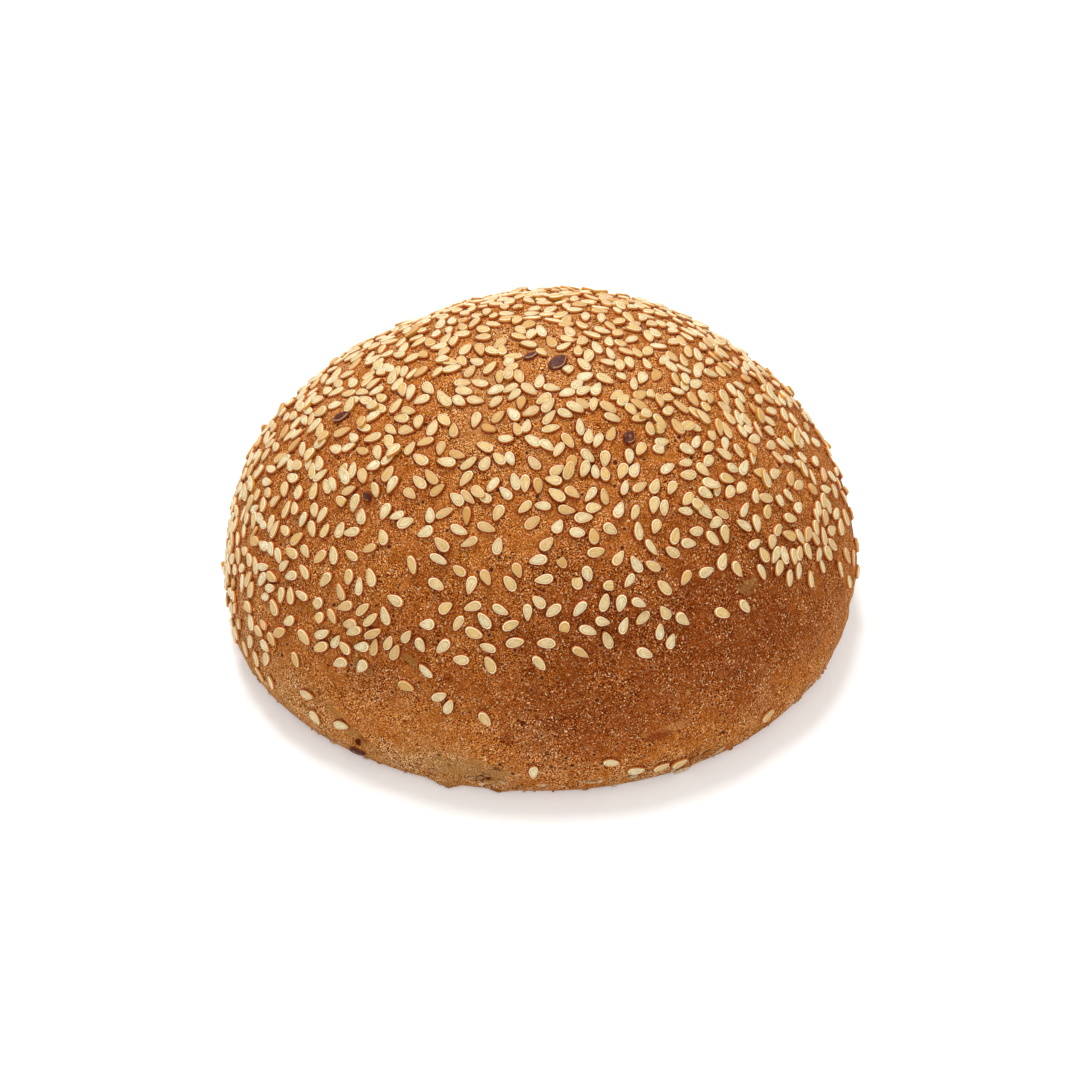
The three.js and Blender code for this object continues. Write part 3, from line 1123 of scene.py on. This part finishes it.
@dataclass
class SeedMould:
    """One small seed of few faces, on a skirt of crust, modelled once and drawn out to each seed's shape."""

    sides: int = 12
    foot_level: float = 0.40
    skirt_scale: float = 1.30
    top_rings: tuple = ((0.97, 0.66), (0.86, 0.93), (0.68, 0.93))
    middle_level: float = 1.06
    levelness: float = 0.9

    def build(self) -> tuple[np.ndarray, list[tuple[int, ...]]]:
        """Models the seed as a disc of radius and height 1 by scaling, extruding and poking a cylinder.

        Returns:
            Its points and its faces.
        """
        bpy.ops.object.select_all(action="DESELECT")
        bpy.ops.mesh.primitive_cylinder_add(vertices=self.sides, radius=1, depth=self.foot_level,
                                            location=(0, 0, self.foot_level / 2), end_fill_type="NGON")
        seed = bpy.context.object
        bpy.ops.object.transform_apply(location=True)
        bpy.ops.object.mode_set(mode="EDIT")
        self.pick_face(seed, -1)
        bpy.ops.transform.resize(value=(self.skirt_scale, self.skirt_scale, 1))
        self.pick_face(seed, 1)
        reach, level = 1.0, self.foot_level
        for ring_reach, ring_level in self.top_rings:
            bpy.ops.mesh.extrude_region_move(TRANSFORM_OT_translate={"value": (0, 0, ring_level - level)})
            bpy.ops.transform.resize(value=(ring_reach / reach, ring_reach / reach, 1))
            reach, level = ring_reach, ring_level
        bpy.ops.mesh.poke(offset=self.middle_level - level)
        bpy.ops.object.mode_set(mode="OBJECT")
        return taken_apart(seed)

    def pick_face(self, seed: Piece, facing: int) -> None:
        """Selects the seed's many-sided face at its top or at its bottom.

        Args:
            seed: The seed, in edit mode.
            facing: 1 for the face that looks up, -1 for the one that looks down.
        """
        bpy.ops.mesh.select_all(action="DESELECT")
        bpy.ops.object.mode_set(mode="OBJECT")
        for face in seed.data.polygons:
            face.select = len(face.vertices) == self.sides and face.normal.z * facing > self.levelness
        bpy.ops.object.mode_set(mode="EDIT")
        bpy.ops.mesh.select_mode(type="FACE")


@dataclass
class CrumbMould:
    """One ragged crumb, modelled once and drawn out to each crumb's own shape."""

    lump_size: float = 0.75
    raggedness: float = 0.9

    def build(self) -> tuple[np.ndarray, list[tuple[int, ...]]]:
        """Models the crumb as a lumpy ball that spans 1 upwards and about 1 each way across.

        Returns:
            Its points and its faces.
        """
        bpy.ops.object.select_all(action="DESELECT")
        bpy.ops.mesh.primitive_ico_sphere_add(subdivisions=2, radius=1)
        crumb = bpy.context.object
        press_clouds(crumb, "crumb_lumps", self.lump_size, self.raggedness)
        points, faces = taken_apart(crumb)
        low, high = points.min(axis=0), points.max(axis=0)
        points[:, :2] /= np.hypot(points[:, 0], points[:, 1]).max()
        points[:, 2] = (points[:, 2] - low[2]) / (high[2] - low[2])
        return points, faces


@dataclass
class Pile:
    """Small things that share a mould, joined into one mesh with a map and a tone of their own."""

    name: str
    mould: SeedMould | CrumbMould
    loaf: Loaf
    skirt_width: float = 0.36
    skirt_sink: float = 0.05
    skirt_margin: float = 0.01
    undercut: float = 0.12
    least_level: float = 0.66
    drop_power: float = 1.12
    points: list = field(default_factory=list)
    maps: list = field(default_factory=list)
    marks: list = field(default_factory=list)

    def __post_init__(self) -> None:
        """Models the mould and finds its skirt, which is what lies beyond its outline."""
        self.shape, self.faces = self.mould.build()
        self.skirt = np.hypot(self.shape[:, 0], self.shape[:, 1]) > 1 + self.skirt_margin

    def lay(self, origin: np.ndarray, axes: np.ndarray, size: tuple, taper: float, bend: float,
            tone: float, toast: float, broken: float = 1.0, seated: bool = True, pointed: float = 0.0) -> None:
        """Adds one.

        Args:
            origin: Where its underside's middle lies.
            axes: Its directions along, across and up, as rows.
            size: Its length, width and thickness.
            taper: How much narrower its tip is.
            bend: How far it is bowed sideways.
            tone: From its palest, 0, to its darkest, 1.
            toast: How browned it is.
            broken: How far towards its tip it is whole, from the middle, 0, to the tip, 1.
            seated: Whether its skirt lies on the crust, or is drawn in under it.
            pointed: How much narrower both its ends are.
        """
        x, y, z = self.shape.T
        reach = np.maximum(np.hypot(x, y), 1)
        x, y = np.minimum(x / reach, broken), y / reach
        length, width, thick = size
        drop = np.sign(x) * np.abs(x) ** self.drop_power
        narrowed = (1 - taper * x) * (1 - pointed * x * x)
        shaped = np.column_stack([drop * length / 2, (y * narrowed + bend * (1 - x * x)) * width / 2, z * thick])
        outward = unit(np.column_stack([x * width, y * length])[self.skirt])
        shaped[self.skirt, :2] += outward * (self.skirt_width if seated else -self.undercut)
        points = origin + shaped @ axes
        if seated and self.skirt.any():
            points[self.skirt] = self.loaf.on_crust(points[self.skirt], -self.skirt_sink)
        self.points.append(points)
        self.maps.append(np.column_stack([x, y]) * 0.5 + 0.5)
        # Lifted seeds keep a level above the foot, so they get no painted contact shadow.
        level = z if seated else np.maximum(z, self.least_level)
        self.marks.append(np.column_stack([np.full(len(x), tone), np.full(len(x), toast), level]))

    def build(self) -> Piece:
        """Joins them into one mesh.

        Returns:
            The object, at the origin.
        """
        count = len(self.shape)
        faces = [tuple(corner + count * i for corner in face) for i in range(len(self.points)) for face in self.faces]
        mesh = bpy.data.meshes.new(self.name)
        points = np.concatenate(self.points)
        points[:, 2] = np.maximum(points[:, 2], 0)
        mesh.from_pydata(points * MM, [], faces)
        spots = np.concatenate(self.maps)
        corners = np.empty(len(mesh.loops), np.int32)
        mesh.loops.foreach_get("vertex_index", corners)
        mesh.uv_layers.new(name="seed").data.foreach_set("uv", spots[corners].ravel())
        tone, toast, level = np.concatenate(self.marks).T.copy()
        write_marks(mesh, {"tone": tone, "toast": toast, "level": level, "bake_and_edge_light": self.loaf.bake_and_edge_light(points)})
        mesh.polygons.foreach_set("use_smooth", np.ones(len(mesh.polygons), bool))
        mesh.update()
        piece = bpy.data.objects.new(self.name, mesh)
        bpy.context.scene.collection.objects.link(piece)
        return piece


@dataclass
class SesameSeeds:
    """The sesame seeds: large ones spread evenly, as the solid has them, then smaller ones between."""

    loaf: Loaf
    strays: tuple
    grains: tuple
    loose: tuple
    large_count: int = 280
    large_spacing: float = 5.9
    large_lengths: tuple = (3.45, 3.85)
    large_widths: tuple = (1.85, 2.1)
    large_start: int = 20117
    large_tries: int = 9000
    small_lengths: tuple = (3.05, 3.95)
    small_widths: tuple = (1.54, 2.08)
    small_start: int = 70841
    small_tries: int = 16000
    small_gap: float = 1.54
    grain_room: float = 0.95
    least_cover: float = 0.05
    crowds: tuple = (
        Spot(0, 0, 42, 0.30),
        Spot(165, 9, 8, 0.7),
        Spot(90, 55, 25, 0.25),
        Spot(-168, 86, 8, 1.4),
        Spot(-156, 47, 7, 0.7),
        Spot(-129, 50, 6, 0.5),
        Spot(-27, 64, 7, 0.4),
        Spot(-141, 77, 6, -0.5),
        Spot(-165, 70, 15, 0.6),
        Spot(176, 73, 9, 0.9),
        Spot(-16, 68, 9, 0.6),
        Spot(-34, 57, 7, 0.7),
        Spot(-130, 71, 11, 1.1),
        Spot(-104, 67, 7, 0.5),
        Spot(8, 64, 9, -1.0),
        Spot(-52.5, 60, 7, -0.9),
        Spot(-41, 67, 8, -0.8),
        Spot(-152, 57, 6, -0.4),
        Spot(-140, 60, 6, -0.4),
        Spot(-124, 54, 9, -0.85),
        Spot(-115, 61, 7, -0.6),
        Spot(-62, 43, 6, -0.3),
        Spot(-101.5, 46, 5, -1.0),
        Spot(-85.5, 43.5, 5, -0.5),
    )
    thicknesses: tuple = (0.799, 1.081)
    sunk: float = 0.18
    lean_along: float = 0.18
    lean_beside: float = 0.24
    tapers: tuple = (0.14, 0.44)
    bend: float = 0.3
    tone_power: float = 1.2
    browned_draw: float = 0.62
    browned_toast: float = 0.70
    dark_draw: float = 0.965
    dark_toast: float = 0.9
    broken_share: float = 0.02
    broken_reach: float = 0.3
    rider_count: int = 90
    rider_tries: int = 900
    rider_start: int = 4801
    rider_cover: float = 0.72
    rider_lift: float = 0.40
    rider_lean: float = 14
    rider_gap: float = 1.3
    rider_back: float = 0.36
    edge_arc: float = 77
    edge_swing: float = 11
    edge_high_azimuth: float = -65
    edge_dip: float = 10
    edge_dip_azimuth: float = -165
    edge_dip_width: float = 28
    edge_softness: float = 4
    front_azimuth: float = -85
    front_thinning: float = 0.5
    thinning_start: float = 25
    thinning_end: float = 62
    finish: SesameFinish = field(default_factory=SesameFinish)

    def cover(self, azimuth: np.ndarray, arc: np.ndarray) -> np.ndarray:
        """Says how thickly the seeds lie.

        Args:
            azimuth: Azimuths in degrees.
            arc: Ways down from the crown.

        Returns:
            The cover, from 0 to 1.
        """
        from_dip = np.abs((azimuth - self.edge_dip_azimuth + 180) % 360 - 180)
        swing = self.edge_swing * np.cos(np.radians(azimuth - self.edge_high_azimuth))
        edge = self.edge_arc - swing + self.edge_dip * np.exp(-((from_dip / self.edge_dip_width) ** 2))
        front = (1 + np.cos(np.radians(azimuth - self.front_azimuth))) / 2
        thinned = 1 - self.front_thinning * front * smooth_step(self.thinning_start, self.thinning_end, arc)
        return thinned * (1 - smooth_step(edge - self.edge_softness, edge + self.edge_softness, arc))

    def tries(self, start: int, count: int, lengths: tuple, widths: tuple, thinned: bool) -> list[Place]:
        """Draws places at random, even over the crust or thinned by the cover.

        Args:
            start: The random row's start.
            count: How many to draw.
            lengths: The least and the greatest length.
            widths: The least and the greatest width.
            thinned: Whether fewer are kept where the cover is less.

        Returns:
            The places kept.
        """
        draws = RandomRow(start).table(count, 6)
        azimuth, arc = 360 * draws[:, 0] - 180, self.loaf.foot_arc * draws[:, 1]
        wanted = self.loaf.profile_at(arc)[0] / self.loaf.half_width
        if thinned:
            wanted = wanted * self.cover(azimuth, arc)
        length, width = between(lengths, draws[:, 4]), between(widths, draws[:, 5])
        kept = np.flatnonzero(draws[:, 2] <= wanted)
        return [Place(azimuth[i], arc[i], 360 * draws[i, 3], length[i], width[i]) for i in kept]

    def large(self) -> list[Place]:
        """Places the large seeds by the same draws as the solid's.

        Returns:
            Their places, after the strays.
        """
        taken = self.loaf.spots([*self.grains, *self.strays])
        tried = self.tries(self.large_start, self.large_tries, self.large_lengths, self.large_widths, True)
        found: list[Place] = []
        for place, point in zip(tried, self.loaf.spots(tried)):
            if len(found) < self.large_count and np.linalg.norm(taken - point, axis=1).min() >= self.large_spacing:
                taken = np.vstack([taken, point])
                found.append(place)
        return [*self.strays, *found]

    def footprints(self, places: list[Place]) -> np.ndarray:
        """Finds three points along each seed, a coarse stand-in for its outline.

        Args:
            places: The seeds' places.

        Returns:
            The points, three for each seed.
        """
        length, width = columns(places, "length", "width")
        points, tip, _, _ = self.loaf.headed(places)
        tip = tip * ((length - width) / 2)[:, None]
        return np.stack([points - tip, points, points + tip], axis=1)

    def small(self, places: list[Place]) -> list[Place]:
        """Fills in between the large seeds, evenly, with wider gaps where the cover is less.

        Args:
            places: The seeds laid so far.

        Returns:
            The places of the small seeds.
        """
        seeds = self.footprints(places).reshape(-1, 3)
        grains = self.footprints(self.grains).reshape(-1, 3)
        room = np.repeat([place.width / 2 + self.grain_room for place in self.grains], 3)
        tried = self.tries(self.small_start, self.small_tries, self.small_lengths, self.small_widths, False)
        cover = self.cover(*columns(tried, "azimuth", "arc"))
        middles = self.loaf.spots(tried)
        for crowd in self.crowds:
            cover *= 1 + crowd.share(self.loaf, middles)
        gaps = self.small_gap / np.sqrt(np.maximum(cover, self.least_cover))
        found: list[Place] = []
        for place, prints, gap, thickly in zip(tried, self.footprints(tried), gaps, cover):
            clear = (np.linalg.norm(grains[None] - prints[:, None], axis=-1) - room).min() > 0
            apart = np.linalg.norm(seeds[None] - prints[:, None], axis=-1).min()
            if clear and thickly > self.least_cover and apart > gap:
                seeds = np.vstack([seeds, prints])
                found.append(place)
        return found

    def riders(self, places: list[Place]) -> list[Place]:
        """Leans a few seeds on others, each with its tip over its host's middle.

        Args:
            places: The seeds laid so far.

        Returns:
            The places of the riders.
        """
        row = RandomRow(self.rider_start)
        covers = self.cover(*columns(places, "azimuth", "arc"))
        prints = self.footprints([*places, *self.grains])
        found: list[Place] = []
        for _ in range(self.rider_tries):
            chosen = int(row.draw() * len(places))
            host = places[chosen]
            turn = 360 * row.draw()
            length = between(self.small_lengths, row.draw())
            back = self.rider_back * length
            radius = float(self.loaf.profile_at(host.arc)[0])
            if covers[chosen] < self.rider_cover or radius < self.large_spacing or len(found) == self.rider_count:
                continue
            azimuth = host.azimuth - degrees(back * cos(radians(turn)) / radius)
            arc = host.arc - back * sin(radians(turn))
            rider = Place(azimuth, arc, turn, length, self.small_widths[1], self.rider_lift, self.rider_lean)
            own = self.footprints([rider])
            apart = np.linalg.norm(prints[:, :, None] - own[:, None], axis=-1).min(axis=(1, 2))
            if np.delete(apart, chosen).min() > self.rider_gap:
                prints = np.concatenate([prints, own])
                found.append(rider)
        return found

    def build(self) -> Piece:
        """Lays every seed and joins them.

        Returns:
            The finished piece.
        """
        large = self.large()
        places = [*large, *self.loose]
        places += self.small(places)
        places += self.riders(places)
        pile = Pile("sesame_seeds", SeedMould(), self.loaf)
        looks = RandomRow(self.small_start + 1).table(len(places), 8)
        for place, look, point, tip, side, up in zip(places, looks, *self.loaf.seats(places)):
            tilt = self.lean_along * (look[0] - 0.5) - sin(radians(place.lean))
            up = unit(up + tilt * tip + self.lean_beside * (look[1] - 0.5) * side)
            side = unit(np.cross(up, tip))
            axes = np.array([np.cross(side, up), side, up])
            size = place.length, place.width, between(self.thicknesses, look[2])
            browned = max(0, look[3] - self.browned_draw) / (self.dark_draw - self.browned_draw)
            toast = self.dark_toast if browned > 1 else self.browned_toast * browned
            pile.lay(point + up * (place.lift - self.sunk), axes, size, between(self.tapers, look[4]),
                     self.bend * (look[5] - 0.5), look[6] ** self.tone_power,
                     toast if place.toast is None else place.toast,
                     self.broken_reach if look[7] < self.broken_share else 1.0, place.lift == 0)
        seeds = pile.build()
        seeds.data.materials.append(self.finish.material(self.loaf.finish, self.loaf.height))
        log.info("sesame_seeds: %d seeds, %d of them large", len(places), len(large))
        return seeds


@dataclass
class DarkGrains:
    """The few dark, longer grains of the mixed dough that show at the crust."""

    loaf: Loaf
    grains: tuple
    thickness: float = 1.15
    sunk: float = 0.30
    taper: float = 0.12
    pointed: float = 0.3
    sides: int = 16
    finish: DarkGrainFinish = field(default_factory=DarkGrainFinish)

    def build(self) -> Piece:
        """Lays the grains and joins them.

        Returns:
            The finished piece.
        """
        pile = Pile("dark_grains", SeedMould(sides=self.sides), self.loaf)
        for place, point, tip, side, up in zip(self.grains, *self.loaf.seats(self.grains)):
            pile.lay(point - up * self.sunk, np.array([tip, side, up]),
                     (place.length, place.width, self.thickness), self.taper, 0, 0, place.toast or 0,
                     pointed=self.pointed)
        grains = pile.build()
        grains.data.materials.append(self.finish.material(self.loaf.finish, self.loaf.height))
        return grains


@dataclass
class Crumbs:
    """Ragged crumbs and flakes of torn crust along the foot."""

    loaf: Loaf
    flakes: tuple
    count: int = 230
    start: int = 33107
    lengths: tuple = (0.6, 1.8)
    width_share: float = 0.65
    thicknesses: tuple = (0.3, 0.7)
    strip: float = 6.0
    rim_gap: float = 0.4
    turn_swing: float = 60
    taper_swing: float = 0.8
    sunk_share: float = 0.35
    flake_thickness: float = 0.65
    finish: CrumbFinish = field(default_factory=CrumbFinish)

    def build(self) -> Piece:
        """Sticks the crumbs along the foot, with the named flakes among them.

        Returns:
            The finished piece.
        """
        draws = RandomRow(self.start).table(self.count + len(self.flakes), 7)
        places = list(self.flakes)
        for draw in draws[:self.count]:
            length = between(self.lengths, draw[3] ** 2)
            arc = self.loaf.foot_arc - self.rim_gap - self.strip * draw[1]
            turn = self.turn_swing * (draw[2] - 0.5)
            places.append(Place(360 * draw[0] - 180, arc, turn, length, length * self.width_share))
        pile = Pile("crumbs", CrumbMould(), self.loaf)
        for place, draw, point, tip, side, up in zip(places, draws[::-1], *self.loaf.seats(places)):
            thick = self.flake_thickness if place in self.flakes else between(self.thicknesses, draw[4])
            pile.lay(point + up * (place.lift - thick * self.sunk_share), np.array([tip, side, up]),
                     (place.length, place.width, thick), self.taper_swing * (draw[5] - 0.5), 0,
                     draw[6] if place.toast is None else place.toast, 0)
        crumbs = pile.build()
        crumbs.data.materials.append(self.finish.material())
        return crumbs


@dataclass(frozen=True)
class Lamp:
    """A round soft light that looks at the bun."""

    name: str
    place: tuple
    width: float
    watts: float
    colour: tuple


@dataclass
class Studio:
    """A pale floor, soft lights and the camera at the photograph's angle."""

    elevation: float = 38
    distance: float = 700
    target_height: float = 32
    frame_pixels: int = 1080
    pixels_per_mm: float = 5.173
    target_pixel: tuple = (540.2, 476.8)
    sensor_width: float = 36
    nearest: float = 10
    floor_width: float = 6000
    key: Lamp = Lamp("key", (-110, 300, 880), 380, 7.7, (0.97, 0.985, 1.0))
    fill: Lamp = Lamp("fill", (240, -850, 560), 900, 2.3, (1.0, 0.94, 0.85))
    sky_colour: tuple = (1.0, 0.95, 0.88, 1)
    sky_strength: float = 0.70
    finish: FloorFinish = field(default_factory=FloorFinish)

    def build(self) -> None:
        """Sets the floor, the lights, the camera and the plain view of colours."""
        self.floor()
        self.lights()
        self.camera()
        bpy.context.scene.view_settings.view_transform = "Standard"

    def floor(self) -> None:
        """Lays the floor."""
        bpy.ops.object.select_all(action="DESELECT")
        bpy.ops.mesh.primitive_plane_add(size=self.floor_width * MM)
        floor = bpy.context.object
        floor.name = "floor"
        floor.data.materials.append(self.finish.material())

    def lights(self) -> None:
        """Hangs a large soft key above and behind, a wide fill in front, and an even sky."""
        self.hang(self.key)
        self.hang(self.fill)
        world = bpy.data.worlds.new("sky")
        world.use_nodes = True
        sky = world.node_tree.nodes["Background"]
        sky.inputs["Color"].default_value = self.sky_colour
        sky.inputs["Strength"].default_value = self.sky_strength
        bpy.context.scene.world = world

    def hang(self, chosen: Lamp) -> None:
        """Hangs one lamp.

        Args:
            chosen: The lamp.
        """
        light = bpy.data.lights.new(chosen.name, "AREA")
        light.shape = "DISK"
        light.size = chosen.width * MM
        light.energy = chosen.watts
        light.color = chosen.colour
        lamp = bpy.data.objects.new(chosen.name, light)
        lamp.location = Vector(chosen.place) * MM
        towards = Vector((0, 0, self.target_height)) * MM - lamp.location
        lamp.rotation_euler = towards.to_track_quat("-Z", "Y").to_euler()
        bpy.context.scene.collection.objects.link(lamp)

    def camera(self) -> None:
        """Sets the camera, turned so that the bun's middle falls on its pixel."""
        tilt = radians(self.elevation)
        target = Vector((0, 0, self.target_height))
        place = target + Vector((0, -cos(tilt), sin(tilt))) * self.distance
        right, up = Vector((1, 0, 0)), Vector((0, sin(tilt), cos(tilt)))
        middle = self.frame_pixels / 2
        aside = (middle - self.target_pixel[0]) / self.pixels_per_mm
        above = (self.target_pixel[1] - middle) / self.pixels_per_mm
        aim = target + right * aside + up * above
        data = bpy.data.cameras.new("camera")
        data.sensor_width = self.sensor_width
        data.lens = self.sensor_width * self.distance * self.pixels_per_mm / self.frame_pixels
        data.clip_start = self.nearest * MM
        camera = bpy.data.objects.new("camera", data)
        camera.location = place * MM
        camera.rotation_euler = (aim - place).to_track_quat("-Z", "Y").to_euler()
        bpy.context.scene.collection.objects.link(camera)
        bpy.context.scene.camera = camera


STRAYS = (
    Place(-101, 79, 52),
    Place(-110, 76, -34),
    Place(-108, 77.5, -72),
    Place(-116.5, 75.5, 10),
    Place(-137, 86, -8),
    Place(-135, 90, 51),
    Place(-129.5, 89.5, -8),
    Place(-92, 90, 89),
    Place(-77.5, 89, 18),
    Place(-72.5, 92.5, -9),
    Place(-67.5, 93, -21, toast=0.25),
    Place(-64, 93, -18, toast=0.35),
    Place(-43.5, 91.5, -19, toast=0.5),
)
LOOSE = (
    Place(-160, 88, 80, 3.4, 1.7),
    Place(-158, 84, -75, 3.0, 1.6, toast=0.5),
    Place(-155.5, 88, 70, 3.5, 1.8),
    Place(-153.5, 84.8, 95, 3.4, 1.7),
    Place(-151, 86.8, 75, 3.6, 1.8, toast=0.3),
    Place(-147.5, 84.3, 100, 3.7, 1.9, toast=0.3),
    Place(-150.5, 90, 60, 3.6, 1.8, toast=0.6),
    Place(-146.5, 89.2, 85, 3.4, 1.8),
    Place(-10, 76, 95, 3.8, 1.8, toast=0.6),
    Place(-6.5, 79.5, 100, 3.7, 1.8, toast=0.7),
    Place(-15, 75.5, 105, 3.5, 1.7, toast=0.3),
    Place(-12, 81, 95, 3.0, 1.6),
    Place(0.5, 82.5, 88, 3.8, 1.8, toast=0.75),
    Place(-3.5, 85.8, 90, 3.4, 1.7, toast=0.2),
    Place(6.0, 79.0, 100, 3.2, 1.7, toast=0.6),
    Place(9.0, 75.5, 70, 3.0, 1.5, toast=0.75),
)
GRAINS = (
    Place(-67.5, 7, -30, 4.7, 2.7),
    Place(-117, 5.5, -48, 2.8, 1.5),
    Place(-169.5, 39.5, -76, 3.8, 1.9),
    Place(-140.5, 45, 20, 2.2, 1.4),
    Place(-52.5, 27.5, -33, 3.0, 2.3, toast=1.0),
    Place(-126.5, 94.5, 0, 3.6, 1.6),
)
FLAKES = (
    Place(-62.4, 97.0, -12, 4.0, 1.9, 0.08, toast=0.05),
    Place(-64.6, 96.2, -20, 2.2, 1.3, toast=0.3),
    Place(-60.2, 94.4, -22, 2.8, 1.5, 0.1, toast=0.95),
    Place(-57.6, 94.0, -32, 2.4, 1.1, 0.1, toast=1.0),
    Place(-58.8, 96.0, -12, 2.2, 1.2, toast=0.7),
    Place(-54.5, 94.8, -25, 3.0, 1.0, toast=0.3),
    Place(-30.5, 92.9, -30, 3.2, 1.5, toast=0.6),
    Place(-101, 93.5, 5, 2.0, 1.0, toast=0.8),
    Place(-98, 94.4, 0, 1.8, 0.8, toast=0.35),
    Place(-94.5, 94.8, 0, 1.6, 0.8, toast=0.8),
    Place(-104, 94.2, 0, 1.8, 0.9, toast=0.6),
    Place(-108.2, 97.4, -10, 1.8, 1.0, toast=0.9),
    Place(-99.0, 97.6, 8, 2.2, 1.0, toast=1.0),
    Place(-111, 93.6, 10, 2.2, 1.1),
    Place(-114, 93, 0, 1.8, 1.0),
    Place(-81, 94.4, 0, 2.4, 0.9, toast=0.4),
    Place(-73, 94.6, -10, 2.6, 1.0, toast=0.4),
)


def dress(piece: Piece) -> None:
    """Makes a piece ride on the bun's body and stand for its node.

    Args:
        piece: The finished piece.
    """
    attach(piece, BODY)
    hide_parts(NODE)
    log.info("%s: %d faces", piece.name, len(piece.data.polygons))


def main() -> None:
    """Builds the bun, dresses it and sets the studio."""
    logging.basicConfig(level=logging.INFO, format="%(message)s")
    Studio().build()
    loaf = Loaf()
    dress(loaf.build())
    dress(SesameSeeds(loaf, STRAYS, GRAINS, LOOSE).build())
    dress(DarkGrains(loaf, GRAINS).build())
    dress(Crumbs(loaf, FLAKES).build())


if __name__ == "__main__":
    main()
